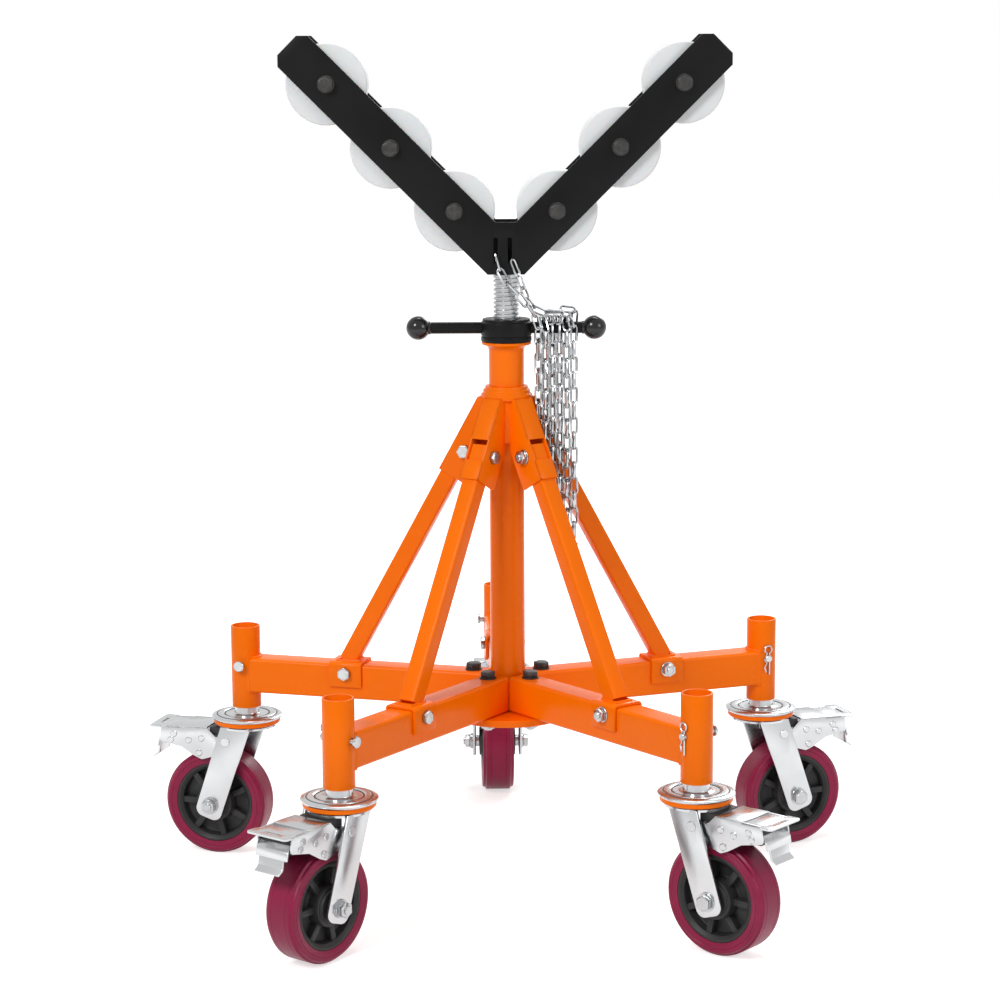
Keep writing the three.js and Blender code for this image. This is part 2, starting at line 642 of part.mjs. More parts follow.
// The head's outline: two arms from a flat foot, with a flat notch between them
function headOutline() {
  const along = [Math.cos(armAngle), Math.sin(armAngle)];
  const half = ARM_WIDTH / 2;
  const onArm = (far, up) => {
    return [far * along[0] - up * along[1], vertexHeight + far * along[1] + up * along[0]];
  };
  const notchHeight = vertexHeight + edgeDrop + (NOTCH_WIDTH / 2) * Math.tan(armAngle);
  const right = [
    [FOOT_WIDTH / 2, footHeight],
    onArm(ARM_LENGTH - TIP_CHAMFER, -half), onArm(ARM_LENGTH, TIP_CHAMFER - half),
    onArm(ARM_LENGTH, half - TIP_CHAMFER), onArm(ARM_LENGTH - TIP_CHAMFER, half),
    [NOTCH_WIDTH / 2, notchHeight],
  ];
  const left = right.map(([x, z]) => [-x, z]).reverse();
  return outline([...right, ...left]);
}

// Where the rollers' bolts go, in X and Z: the right arm from the foot up, then the left arm
const rollerPlaces = [1, -1].flatMap((hand) => {
  return Array.from({ length: ROLLERS_PER_ARM }, (_, i) => {
    const far = ROLLER_FIRST + ROLLER_SPACING * i;
    return [hand * far * Math.cos(armAngle), vertexHeight + far * Math.sin(armAngle)];
  });
});
const slotPlaces = [SLOT_OFFSET - SLOT_SPACING / 2, SLOT_OFFSET + SLOT_SPACING / 2];

function headPlate(y0, y1) {
  const holes = rollerPlaces.map(([x, z]) => {
    return crossRod((M12.shank + HOLE_PLAY) / 2, y0 - 1, y1 + 1, x, z);
  });
  return cut(plate(headOutline(), y0, y1), ...holes);
}

function frontPlate() {
  const half = SLOT_WIDTH / 2;
  const slotTop = slotFoot + SLOT_LENGTH;
  const slots = slotPlaces.map((x) => {
    return block([x - half, -plateOutside - 1, slotFoot], [x + half, 1 - plateInside, slotTop]);
  });
  return cut(headPlate(-plateOutside, -plateInside), ...slots);
}

function roller() {
  const bore = (M12.shank + HOLE_PLAY) / 2;
  const boss = ROLLER_BOSS_DIAMETER / 2;
  const rim = ROLLER_DIAMETER / 2;
  const half = ROLLER_WIDTH / 2;
  const end = plateInside - SEAT_GAP;
  const upper = [[bore, end], [boss, end], [boss, half], [rim, half]];
  const lower = upper.map(([radius, y]) => [radius, -y]).reverse();
  return turnedWheel([...lower, ...upper].reverse(), ROLLER_SIDES);
}

function jackScrew() {
  const depth = plateInside - SEAT_GAP;
  const half = WEB_WIDTH / 2;
  const web = block([-half, -depth, footHeight], [half, depth, footHeight + WEB_THICKNESS]);
  const screw = rod(SCREW_DIAMETER / 2, nutBottom - SCREW_BELOW_NUT, footHeight + WEB_THICKNESS / 2);
  return join(screw, web);
}

function handleNut() {
  const bore = around(SCREW_DIAMETER / 2 + SEAT_GAP);
  const rim = NUT_DIAMETER / 2;
  const collar = turned([
    [bore, nutBottom], [rim, nutBottom], [rim, nutTop - NUT_CHAMFER], [rim - NUT_CHAMFER, nutTop],
    [bore, nutTop], [bore, nutBottom],
  ]);
  const barFrom = (bore + rim) / 2;
  const arms = [1, -1].map((hand) => {
    const bar = rod(BAR_DIAMETER / 2, barFrom, BALL_REACH, BOLT_SIDES);
    const ball = new THREE.SphereGeometry(BALL_DIAMETER / 2, 2 * BALL_RINGS, BALL_RINGS);
    const arm = join(bar, ball.rotateX(Math.PI / 2).translate(0, 0, BALL_REACH));
    return arm.rotateY((hand * Math.PI) / 2).translate(0, 0, barHeight);
  });
  return join(collar, ...arms);
}

// The chain's loops over the bar: down in front, round the bottom, up behind and over to the next loop
function chainLoop(i) {
  const x = CHAIN_FIRST + CHAIN_PITCH * i;
  const over = BAR_DIAMETER / 2 + CHAIN_LIFT + CHAIN_DIAMETER / 2;
  const middle = -CHAIN_FORWARD;
  const strand = (hand, drop) => {
    const drawn = THREE.MathUtils.smoothstep(drop, 0, CHAIN_NECK);
    const y = THREE.MathUtils.lerp(hand * over, middle + hand * CHAIN_HALF_GAP, drawn);
    return new THREE.Vector3(x, y, barHeight - drop);
  };
  const half = CHAIN_STEPS / 2;
  const bottom = CHAIN_DROP - CHAIN_DROP_STEP * (CHAIN_LOOPS - 1 - i) - CHAIN_HALF_GAP;
  const dropAt = (step) => {
    const past = Math.max(step - half, 0) / half;
    return (CHAIN_NECK * Math.min(step, half)) / half + (bottom - CHAIN_NECK) * past;
  };
  const points = [];
  for (let step = 0; step < CHAIN_STEPS; step += 1) {
    points.push(strand(-1, dropAt(step)));
  }
  for (let step = 0; step < CHAIN_STEPS; step += 1) {
    const turn = (Math.PI * step) / CHAIN_STEPS;
    const y = middle - CHAIN_HALF_GAP * Math.cos(turn);
    points.push(new THREE.Vector3(x, y, barHeight - bottom - CHAIN_HALF_GAP * Math.sin(turn)));
  }
  for (let step = CHAIN_STEPS; step > 0; step -= 1) {
    points.push(strand(1, dropAt(step)));
  }
  const crossing = i + 1 < CHAIN_LOOPS ? CHAIN_STEPS : 1;
  for (let step = 0; step < crossing; step += 1) {
    const turn = (Math.PI * step) / CHAIN_STEPS;
    const forward = (CHAIN_PITCH * step) / CHAIN_STEPS;
    points.push(new THREE.Vector3(x + forward, over * Math.cos(turn), barHeight + over * Math.sin(turn)));
  }
  return points;
}

// The two leads between the slots and the hank: points from the slot down, from the bar's height
const LEAD_IN = [[-13.8, 101], [-7, 80], [4.5, 62], [20, 44], [33, 27], [40, 12]];
const LEAD_IN_FRONT = [39.5, 40, 40, 36, 27, 18];
const LEAD_OUT = [
  [93.5, 17], [86, 24], [74, 22.5], [60, 22], [45, 23], [34, 33], [25, 51], [19, 69], [12.5, 86], [5.2, 103],
];
const LEAD_OUT_FRONT = [-12, -5, 0, 0, 2, 12, 29, 39.5, 40.5, 40.5];

function chainPath() {
  const lead = (places, front) => {
    return places.map(([x, rise], i) => new THREE.Vector3(x, -front[i], barHeight + rise));
  };
  const loops = Array.from({ length: CHAIN_LOOPS }, (_, i) => chainLoop(i)).flat();
  const curve = (points) => new THREE.CatmullRomCurve3(points).getSpacedPoints(LEAD_STEPS);
  const first = curve([...lead(LEAD_IN, LEAD_IN_FRONT), loops[0]]).slice(0, -1);
  const hankEnd = loops[loops.length - 1];
  const last = curve([hankEnd, ...lead(LEAD_OUT, LEAD_OUT_FRONT)]).slice(1);
  return [...first, ...loops, ...last];
}

// The least gap between stretches of the chain that lie apart along it
function leastGap(points) {
  const near = 4 * CHAIN_DIAMETER;
  const dense = [];
  for (let i = 0; i + 1 < points.length; i += 1) {
    const pieces = Math.ceil(points[i].distanceTo(points[i + 1]) / (CHAIN_DIAMETER / 4));
    for (let piece = 0; piece < pieces; piece += 1) {
      dense.push(points[i].clone().lerp(points[i + 1], piece / pieces));
    }
  }
  const along = [0];
  for (let i = 1; i < dense.length; i += 1) {
    along.push(along[i - 1] + dense[i].distanceTo(dense[i - 1]));
  }
  let least = Infinity;
  for (let i = 0; i < dense.length; i += 1) {
    for (let j = i + 1; j < dense.length; j += 1) {
      if (along[j] - along[i] > near) {
        least = Math.min(least, dense[i].distanceTo(dense[j]));
      }
    }
  }
  return { length: along[along.length - 1], gap: least - CHAIN_DIAMETER };
}

part("column_tube", column(), "orange");
part("base_plate", basePlate(), "orange");
part("strut_crown", crown(), "orange");

for (let k = 0; k < LEG_COUNT; k += 1) {
  const side = new THREE.Group();
  side.rotation.z = legTurn(k);
  stand.add(side);
  part(`leg_${k + 1}`, leg(), "orange", side);
  part(`strut_${k + 1}`, strut(), "orange", side);
  part(`caster_plate_${k + 1}`, casterPlate().translate(LEG_REACH, 0, 0), "zinc", side);
  const caster = new THREE.Group();
  caster.position.x = LEG_REACH;
  caster.rotation.z = THREE.MathUtils.degToRad(CASTER_TURNS[k] ?? 0);
  side.add(caster);
  part(`caster_fork_${k + 1}`, fork(), "zinc", caster);
  part(`brake_pedal_${k + 1}`, brakePedal(), "zinc", caster);
  const wheel = new THREE.Group();
  wheel.position.set(TRAIL, 0, axleHeight);
  caster.add(wheel);
  part(`caster_axle_${k + 1}`, axle(), "steel", wheel);
  part(`caster_hub_${k + 1}`, hub(), "hub", wheel);
  part(`caster_tyre_${k + 1}`, tyre(), "tyre", wheel);
}

part("jack_screw", jackScrew(), "steel");
part("handle_nut", handleNut(), "black");
part("head_front_plate", frontPlate(), "black");
part("head_rear_plate", headPlate(plateInside, plateOutside), "black");

rollerPlaces.forEach(([x, z], i) => {
  const place = new THREE.Group();
  place.position.set(x, 0, z);
  stand.add(place);
  const half = plateOutside + SEAT_GAP;
  const rollerBolt = bolt(M12, 2 * half)
    .rotateX(Math.PI / 2)
    .translate(0, -half, 0);
  part(`head_roller_${i + 1}`, roller(), "roller", place);
  part(`roller_bolt_${i + 1}`, rollerBolt, "black", place);
});

const chain = chainPath();
const measured = leastGap(chain);
console.log(`chain ${measured.length.toFixed(0)} mm long, least gap ${measured.gap.toFixed(2)} mm`);
part("hold_down_chain", sweep(chain, CHAIN_DIAMETER / 2, CHAIN_SIDES), "zinc");

export default stand;
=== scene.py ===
"""Dresses a pipe stand: orange braced base, braked casters, screw jack, V head with rollers and a chain."""

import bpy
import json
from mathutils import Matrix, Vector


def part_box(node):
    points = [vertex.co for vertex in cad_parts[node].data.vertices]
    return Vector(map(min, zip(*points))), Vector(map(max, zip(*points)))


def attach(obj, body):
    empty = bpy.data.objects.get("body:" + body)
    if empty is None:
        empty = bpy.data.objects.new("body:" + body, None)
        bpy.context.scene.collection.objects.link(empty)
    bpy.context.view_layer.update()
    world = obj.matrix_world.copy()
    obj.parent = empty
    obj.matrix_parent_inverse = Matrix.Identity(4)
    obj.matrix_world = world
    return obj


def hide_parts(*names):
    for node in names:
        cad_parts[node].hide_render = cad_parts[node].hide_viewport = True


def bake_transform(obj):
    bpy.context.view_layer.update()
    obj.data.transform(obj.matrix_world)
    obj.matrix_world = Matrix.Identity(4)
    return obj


bl_info = {
    "name": "Pipe roller stand",
    "version": (1, 0, 0),
    "blender": (4, 5, 0),
    "location": "View3D > Sidebar > Stand",
    "description": "Painted star base on casters with a screw jack, a V head of rollers and a hold-down chain",
    "category": "Add Mesh",
}

import json
import math

import bmesh
import bpy
from bpy.props import FloatProperty, FloatVectorProperty, IntProperty, PointerProperty
from mathutils import Matrix, Vector

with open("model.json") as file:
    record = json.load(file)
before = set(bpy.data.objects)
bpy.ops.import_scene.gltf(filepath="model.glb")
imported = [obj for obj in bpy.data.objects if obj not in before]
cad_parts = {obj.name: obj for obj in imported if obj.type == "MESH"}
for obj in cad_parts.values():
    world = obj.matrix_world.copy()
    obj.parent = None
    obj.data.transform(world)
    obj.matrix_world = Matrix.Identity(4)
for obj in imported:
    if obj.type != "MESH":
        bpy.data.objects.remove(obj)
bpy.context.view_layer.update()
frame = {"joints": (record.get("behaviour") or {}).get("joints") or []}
JOINTS = {joint["name"]: joint for joint in frame["joints"]}

LEGS = range(1, 6)
ROLLERS = range(1, 7)
TURN = 2 * math.pi
SHARP_ANGLE = math.radians(32)
FOLD = math.radians(50)
MERGE = 1e-6
SEAT = 0.0003

# How far the edges of each kind of sheet are eased
SADDLE_EASE = 0.0007
SLEEVE_EASE = 0.0009
FORK_EASE = 0.0011
PEDAL_EASE = 0.0006
HEAD_EASE = 0.0008
# The same for a hexagon, as a share of its flats
HEX_EASE = 0.05

# Heights that the frame already holds
SOCKET_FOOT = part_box("leg_1")[0].z
SOCKET_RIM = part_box("leg_1")[1].z
LEG_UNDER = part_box("column_tube")[0].z
COLUMN_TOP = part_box("column_tube")[1].z
RING_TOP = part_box("strut_crown")[1].z
FORK_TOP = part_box("caster_fork_1")[1].z
NUT_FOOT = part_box("handle_nut")[0].z
SCREW_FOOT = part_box("jack_screw")[0].z
SCREW_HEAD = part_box("jack_screw")[1].z
HEAD_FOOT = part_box("head_front_plate")[0].z
PLATE_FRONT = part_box("head_front_plate")[0].y
PLATE_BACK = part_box("head_front_plate")[1].y
AXLE_HEIGHT = JOINTS["wheel_spin_1"]["pos_m"][2]
REACH = Vector(JOINTS["swivel_turn_1"]["pos_m"][:2]).length


def size(label, text, value):
    """A length that the panel can show."""
    return FloatProperty(name=label, description=text, default=value, unit="LENGTH", precision=4)


def colour(label, text, value):
    """A paint or metal colour that the panel can show."""
    return FloatVectorProperty(name=label, description=text, default=value, subtype="COLOR", min=0, max=1)


class StandColours(bpy.types.PropertyGroup):
    paint: colour("Orange", "Powder coat of the base, column and braces", (1.0, 0.178, 0.0))
    zinc: colour("Zinc", "Plated pressings of the casters", (0.54, 0.55, 0.56))
    steel: colour("Steel", "Plated fasteners and chain", (0.46, 0.47, 0.48))
    screw: colour("Screw", "Bright steel of the jack's thread", (0.46, 0.47, 0.48))
    tread: colour("Tread", "Cast polyurethane of the tyres", (0.285, 0.010, 0.058))
    # This colour also paints shade: dark blocks under the fork dishes and the pedals
    hub: colour("Hub", "Moulded nylon of the wheels", (0.034, 0.034, 0.035))
    black: colour("Head", "Satin black of the V head and handle", (0.005, 0.005, 0.005))
    # This colour also paints shade: dark rings in the swivel discs' grooves and a dark disc under their seals
    bolt: colour("Dark bolts", "Oxide finish of the dark fasteners", (0.040, 0.039, 0.038))
    knob: colour("Knobs", "Glossy moulded balls on the handle", (0.004, 0.004, 0.004))
    roller: colour("Rollers", "Turned white nylon", (0.78, 0.80, 0.81))


class BaseSizes(bpy.types.PropertyGroup):
    column_diameter: size("Column", "Outside of the column tube", 0.0483)
    column_wall: size("Column wall", "Wall of the column tube", 0.0037)
    flange_diameter: size("Flange", "Outside of the column's top flange", 0.068)
    flange_thickness: size("Flange thickness", "Rim of the top flange", 0.004)
    flange_flare: size("Flare", "Height of the curve under the flange", 0.009)
    plate_diameter: size("Base plate", "Round plate under the legs", 0.170)
    plate_thickness: size("Base plate thickness", "Round plate under the legs", 0.010)
    leg_width: size("Leg width", "Across a leg's tube", 0.040)
    leg_height: size("Leg height", "Depth of a leg's tube", 0.050)
    leg_corner: size("Leg corner", "Rounding of a leg's long edges", 0.0045)
    leg_end: size("Leg end", "From the column's axis to a leg's inner end", 0.0283)
    leg_bolt_reach: size("Leg bolt", "From the column's axis to a leg's bolt", 0.050)
    socket_diameter: size("Socket", "Outside of a caster socket", 0.0422)
    socket_wall: size("Socket wall", "Wall of a caster socket", 0.0028)
    pin_diameter: size("Pin", "Clevis pin through a socket", 0.010)
    pin_rise: size("Pin rise", "From a leg's underside to its pin", 0.040)
    pin_head: size("Pin head", "Across a clevis pin's flat head", 0.0155)
    pin_stand_off: size("Pin stand-off", "From a socket to its pin's head", 0.006)
    pin_head_height: size("Pin head height", "Height of a clevis pin's head", 0.004)
    pin_sunk: size("Pin sunk", "Pin's end inside its head", 0.001)
    clip_inset: size("Clip inset", "From a pin's tail in to its clip", 0.0035)
    clip_rise: size("Clip rise", "From a pin's axis up to its clip's", 0.006)
    weld: size("Weld", "Radius of the bead round a socket", 0.0028)


class BraceSizes(bpy.types.PropertyGroup):
    side: size("Strut", "Side of a strut's square tube", 0.025)
    wall: size("Strut wall", "Wall of a strut's tube", 0.0025)
    corner: size("Strut corner", "Rounding of a strut's long edges", 0.003)
    top_reach: size("Top reach", "From the column's axis to a strut's top point", 0.066)
    top_rise: size("Top rise", "From the legs' tops to a strut's top point", 0.307)
    past_top: size("Past top", "From that point to the strut's end", 0.0205)
    saddle_reach: size("Saddle reach", "From the column's axis to a saddle", 0.234)
    saddle_length: size("Saddle length", "Along the leg", 0.048)
    saddle_wall: size("Saddle wall", "Thickness of a saddle", 0.004)
    saddle_side: size("Saddle side", "Height of a saddle's cheeks", 0.036)
    saddle_bolt_drop: size("Saddle bolt", "Under a saddle's top", 0.016)
    ring_height: size("Ring height", "Height of the crown's ring", 0.018)
    ring_diameter: size("Ring", "Outside of the crown's ring", 0.071)
    ring_step: size("Ring step", "Each step of the ring", 0.003)
    sleeve_wall: size("Sleeve wall", "Sheet of the crown's sleeves", 0.0025)
    sleeve_below: size("Sleeve foot", "From a strut's top point down its sleeve", 0.031)
    sleeve_depth: size("Sleeve depth", "From a sleeve's face back to the column", 0.045)
    window_from: size("Window foot", "Lower edge of a sleeve's window", -0.003)
    window_to: size("Window head", "Upper edge of a sleeve's window", 0.027)
    bolt_along: size("Cross bolt along", "Place of a sleeve's bolt up the strut", 0.0096)
    bolt_inset: size("Cross bolt inset", "Place of a sleeve's bolt towards the column", 0.005)
    rib_width: size("Rib", "Width of the ribs between the sleeves", 0.013)
    rib_thickness: size("Rib thickness", "Ribs' depth off the column", 0.0065)
    rib_length: size("Rib length", "Height of the ribs", 0.062)
    weld: size("Weld", "Radius of the bead round a strut's foot", 0.00252)


class CasterSizes(bpy.types.PropertyGroup):
    disc_diameter: size("Disc", "Swivel disc over the seal", 0.102)
    disc_thickness: size("Disc thickness", "Rim of the swivel disc", 0.007)
    seal_diameter: size("Seal", "Painted seal ring under the disc", 0.096)
    seal_bore: size("Seal hole", "Hole in the seal ring", 0.060)
    seal_thickness: size("Seal thickness", "Height of the seal ring", 0.007)
    stem_diameter: size("Stem", "Stem in the leg's socket", 0.0352)
    stem_below_rim: size("Stem end", "Under the socket's rim", 0.020)
    kingpin: size("Kingpin", "Head of the kingpin under the fork's top", 0.024)
    fork_top_diameter: size("Fork top", "Pressed dish of the fork", 0.084)
    fork_top_thickness: size("Fork top thickness", "Dish of the fork", 0.006)
    fork_bore: size("Fork hole", "Hole in the fork's top", 0.018)
    fork_width: size("Fork width", "Across the fork's legs", 0.077)
    fork_wall: size("Fork wall", "Sheet of the fork's legs", 0.0045)
    fork_end: size("Fork end", "Radius of the fork's legs at the axle", 0.020)
    fork_top_from: size("Fork leg start", "Along the trail, at the top", -0.018)
    fork_top_to: size("Fork leg stop", "Along the trail, at the top", 0.027)
    axle_spacer: size("Axle spacer", "Sleeves beside the hub", 0.018)
    axle_washer: size("Axle washer", "Washers outside the fork", 0.025)
    trail: size("Trail", "From the swivel's axis to the axle", 0.045)
    wheel_diameter: size("Wheel", "Over the tread", 0.152)
    tread_width: size("Tread", "Flat width of the tread", 0.038)
    tyre_width: size("Tyre", "Across the tyre's shoulders", 0.048)
    hub_diameter: size("Hub", "Outside of the moulded hub", 0.116)
    hub_rim: size("Hub rim", "Radial depth of the hub's rim", 0.008)
    hub_width: size("Hub width", "Across the hub's rim", 0.044)
    hub_web: size("Hub web", "Thickness of the disc between rim and boss", 0.014)
    hub_boss: size("Hub boss", "Outside of the bearing boss", 0.054)
    hub_boss_width: size("Hub boss width", "Across the bearing boss", 0.056)
    hub_spoke: size("Spoke", "Thickness of the ribs between rim and boss", 0.009)
    spokes: IntProperty(name="Spokes", description="Ribs between rim and boss", default=7, min=3)
    pedal_top: size("Pedal top", "Over the floor", 0.190)
    pedal_sheet: size("Pedal sheet", "Thickness of the pedal's pressings", 0.0025)
    pedal_width: size("Pedal", "Across the pedal's side plates", 0.060)
    pedal_wing: size("Pedal end", "Across the pedal's wide end", 0.068)
    pedal_from: size("Pedal start", "From the swivel's axis", 0.046)
    pedal_to: size("Pedal end reach", "From the swivel's axis", 0.140)
    pedal_neck: size("Pedal neck", "From the wide end's tip back to its neck", 0.022)
    pedal_crease: size("Pedal crease", "From the swivel's axis to the step in the top plate", 0.092)
    pedal_step: size("Pedal step", "Height of the step in the top plate", 0.0014)
    pedal_pin_reach: size("Pedal pin", "From the swivel's axis", 0.020)
    pedal_pin_height: size("Pedal pin height", "Over the floor", 0.172)
    pedal_pin: size("Pedal pin diameter", "Pin across the fork", 0.008)


class JackSizes(bpy.types.PropertyGroup):
    screw_diameter: size("Screw", "Over the thread", 0.035)
    thread_pitch: size("Pitch", "Rise in one turn", 0.006)
    thread_depth: size("Thread depth", "Crest to root", 0.0028)
    nut_diameter: size("Nut", "Outside of the collar", 0.0695)
    nut_height: size("Nut height", "Height of the collar", 0.031)
    bar_diameter: size("Bar", "Handle bars", 0.016)
    bar_rise: size("Bar rise", "From the nut's underside", 0.0183)
    ball_diameter: size("Ball", "Knobs on the bars", 0.033)
    ball_reach: size("Ball reach", "From the column's axis", 0.121)


class HeadSizes(bpy.types.PropertyGroup):
    arm_width: size("Arm", "Width of the V's arms", 0.058)
    arm_length: size("Arm length", "From where the arms' middle lines meet", 0.413)
    tip_chamfer: size("Tip", "Corners cut off the arms' tips", 0.011)
    notch: size("Notch", "Flat between the arms", 0.028)
    foot: size("Foot", "Flat under the arms", 0.050)
    web_width: size("Web", "Block between the plates", 0.044)
    slot_width: size("Slot", "Chain slots in the front plate", 0.006)
    slot_length: size("Slot length", "Chain slots in the front plate", 0.034)
    slot_spacing: size("Slot spacing", "Between the chain slots", 0.019)
    slot_offset: size("Slot offset", "The pair's middle from the head's", -0.0043)
    slot_rise: size("Slot rise", "From the head's foot", 0.016)
    roller_diameter: size("Roller", "Outside of a roller", 0.110)
    roller_width: size("Roller width", "Width of a roller", 0.050)
    roller_boss: size("Roller boss", "Boss beside the plates", 0.024)


class ChainSizes(bpy.types.PropertyGroup):
    link_length: size("Link", "Outside length of a link", 0.0275)
    link_width: size("Link width", "Outside width of a link", 0.0115)
    wire: size("Wire", "Wire of the links", 0.0033)
    route_diameter: size("Route", "Width of the chain's route", 0.008)
    loops: IntProperty(name="Loops", description="Loops hung over the bar", default=6, min=1)
    first: size("First loop", "From the column's axis along the bar", 0.0436)
    pitch: size("Loop spacing", "Between the loops", 0.0098)
    drop: size("Drop", "From the bar to the outermost loop's end", 0.298)
    drop_step: size("Drop step", "Each loop further in hangs less far down", 0.017)
    neck: size("Neck", "From the bar to where the loops have drawn in", 0.110)
    half_gap: size("Half gap", "Half the distance between a loop's strands", 0.0055)
    lift: size("Lift", "Between the chain and the bar", 0.0005)
    forward: size("Forward", "The hank's middle before the bar's", 0.0162)


# Shapes, each a bmesh of its own that is then added to a piece

def rounded(points, steps=4):
    """The points of a closed outline, with an arc at each corner that gives a radius."""
    made = []
    for i, corner in enumerate(points):
        here = Vector(corner[:2])
        radius = corner[2] if len(corner) > 2 else 0
        if not radius:
            made.append(here)
            continue
        before = (Vector(points[i - 1][:2]) - here).normalized()
        after = (Vector(points[(i + 1) % len(points)][:2]) - here).normalized()
        half = before.angle(after) / 2
        centre = here + (before + after).normalized() * radius / math.sin(half)
        start = here + before * (radius / math.tan(half)) - centre
        end = here + after * (radius / math.tan(half)) - centre
        first = math.atan2(start.y, start.x)
        sweep = math.atan2(start.x * end.y - start.y * end.x, start.dot(end))
        for step in range(steps + 1):
            turn = first + sweep * step / steps
            made.append(centre + radius * Vector((math.cos(turn), math.sin(turn))))
    return made


def turned(profile, steps=48):
    """A profile of (radius, height) points spun round Z. It starts and ends on the axis, or closes on itself."""
    shape = bmesh.new()
    verts = [shape.verts.new((radius, 0, height)) for radius, height in profile]
    edges = [shape.edges.new(pair) for pair in zip(verts, verts[1:])]
    if profile[0][0] > MERGE:
        edges.append(shape.edges.new((verts[-1], verts[0])))
    bmesh.ops.spin(
        shape, geom=verts + edges, axis=(0, 0, 1), cent=(0, 0, 0), angle=TURN, steps=steps, use_merge=True
    )
    bmesh.ops.remove_doubles(shape, verts=shape.verts, dist=MERGE)
    return shape


def slab(outline, low, high, holes=()):
    """An outline in X and Z, with holes, drawn out along Y."""
    shape = bmesh.new()
    edges = []
    for loop in (outline, *holes):
        verts = [shape.verts.new((x, low, z)) for x, z in loop]
        edges += [shape.edges.new(pair) for pair in zip(verts, verts[1:] + verts[:1])]
    if holes:
        filled = bmesh.ops.triangle_fill(shape, edges=edges, use_beauty=True)
        faces = [item for item in filled["geom"] if isinstance(item, bmesh.types.BMFace)]
    else:
        faces = [shape.faces.new(verts)]
    made = bmesh.ops.extrude_face_region(shape, geom=faces)
    moved = [item for item in made["geom"] if isinstance(item, bmesh.types.BMVert)]
    bmesh.ops.translate(shape, verts=moved, vec=(0, high - low, 0))
    bmesh.ops.recalc_face_normals(shape, faces=shape.faces)
    return shape


def ease(shape, width, least=math.radians(40)):
    """Rounds the edges of a shape that are sharper than an angle."""
    sharp = [edge for edge in shape.edges if len(edge.link_faces) == 2 and edge.calc_face_angle(0) > least]
    bmesh.ops.bevel(
        shape, geom=sharp, offset=width, segments=2, profile=0.5, affect="EDGES", material=-1, clamp_overlap=True
    )
    return shape


def pressed(outline, low, high, edge, least=math.radians(60), holes=()):
    """A slab of sheet metal with eased edges."""
    return ease(slab(outline, low, high, holes), edge, least)


def block(low, high, edge):
    """A box between two corners, with rounded edges."""
    shape = bmesh.new()
    low, high = Vector(low), Vector(high)
    place = Matrix.Translation((low + high) / 2) @ Matrix.Diagonal((*(high - low), 1))
    bmesh.ops.create_cube(shape, size=1, matrix=place)
    return ease(shape, edge)


def hexagon(across, low, high):
    """A hex head or nut along Z, with eased edges."""
    shape = bmesh.new()
    corner = across / math.sqrt(3)
    middle = at(0, 0, (low + high) / 2)
    bmesh.ops.create_cone(
        shape, cap_ends=True, segments=6, radius1=corner, radius2=corner, depth=high - low, matrix=middle
    )
    return ease(shape, HEX_EASE * across)


def disc(radius, low, high, bore=0.0, edge=0.0004, steps=32):
    """A washer, pin or plug along Z with eased rims."""
    outer = [(radius - edge, low), (radius, low + edge), (radius, high - edge), (radius - edge, high)]
    return turned([(bore, low), *outer, (bore, high)], steps)


def wire(points, radius, sides=8, closed=False):
    """A round wire along points, bridged from ring to ring."""
    shape = bmesh.new()
    rings = []
    normal = None
    last = len(points) - 1
    for i, point in enumerate(points):
        before = points[i - 1] if closed or i else point
        after = points[(i + 1) % len(points)] if closed or i < last else point
        along = (after - before).normalized()
        normal = along.orthogonal() if normal is None else normal
        normal = (normal - along * normal.dot(along)).normalized()
        turn = Matrix((normal, along.cross(normal), along)).transposed().to_4x4()
        capped = not closed and i in (0, last)
        ring = bmesh.ops.create_circle(
            shape, cap_ends=capped, segments=sides, radius=radius, matrix=Matrix.Translation(point) @ turn
        )
        rings.append(set(ring["verts"]))
    following = rings[1:] + rings[:1] if closed else rings[1:]
    for one, two in zip(rings, following):
        edges = {edge for vert in one | two for edge in vert.link_edges}
        edges = [edge for edge in edges if set(edge.verts) <= one or set(edge.verts) <= two]
        bmesh.ops.bridge_loops(shape, edges=edges)
    return shape


def stamp(piece, shape, place=Matrix(), index=0):
    """Adds a finished shape to a piece, at its place and with one of the piece's finishes."""
    bmesh.ops.remove_doubles(shape, verts=shape.verts, dist=MERGE)
    bmesh.ops.recalc_face_normals(shape, faces=shape.faces)
    bmesh.ops.transform(shape, matrix=place, verts=shape.verts)
    for face in shape.faces:
        face.material_index = index
        face.smooth = True
    mesh = bpy.data.meshes.new("shape")
    shape.to_mesh(mesh)
    shape.free()
    piece.from_mesh(mesh)
    bpy.data.meshes.remove(mesh)


def finish_piece(piece, name, body, finishes, nodes=(), slot=None):
    """Makes an object of a piece, which rides on a body and stands for its nodes."""
    mesh = bpy.data.meshes.new(name)
    piece.to_mesh(mesh)
    piece.free()
    for label in finishes:
        mesh.materials.append(finish(label))
    mesh.set_sharp_from_angle(angle=SHARP_ANGLE)
    made = bpy.data.objects.new(name, mesh)
    bpy.context.collection.objects.link(made)
    if body:
        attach(made, body)
    slot = slot or finishes[0]
    if nodes:
        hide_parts(*nodes)
    return made


# Places

ALONG_Y = Matrix.Rotation(-math.pi / 2, 4, "X")
UPRIGHT = Matrix.Rotation(math.pi / 2, 4, "X")
FLIP = Matrix.Rotation(math.pi, 4, "X")
QUARTER = Matrix.Rotation(math.pi / 2, 4, "Z")


def at(x, y, z):
    """A move from the origin to a place."""
    return Matrix.Translation((x, y, z))


def leg_place(k):
    """A leg's own frame: +X outward from the column."""
    x, y, _ = JOINTS[f"swivel_turn_{k}"]["pos_m"]
    return Matrix.Rotation(math.atan2(y, x), 4, "Z")


def caster_place(k):
    """A caster's own frame: the swivel's axis on the floor, +X along the trail."""
    x, y, _ = JOINTS[f"swivel_turn_{k}"]["pos_m"]
    axis_x, axis_y, _ = JOINTS[f"wheel_spin_{k}"]["axis"]
    return at(x, y, 0) @ Matrix.Rotation(math.atan2(axis_y, axis_x) - math.pi / 2, 4, "Z")


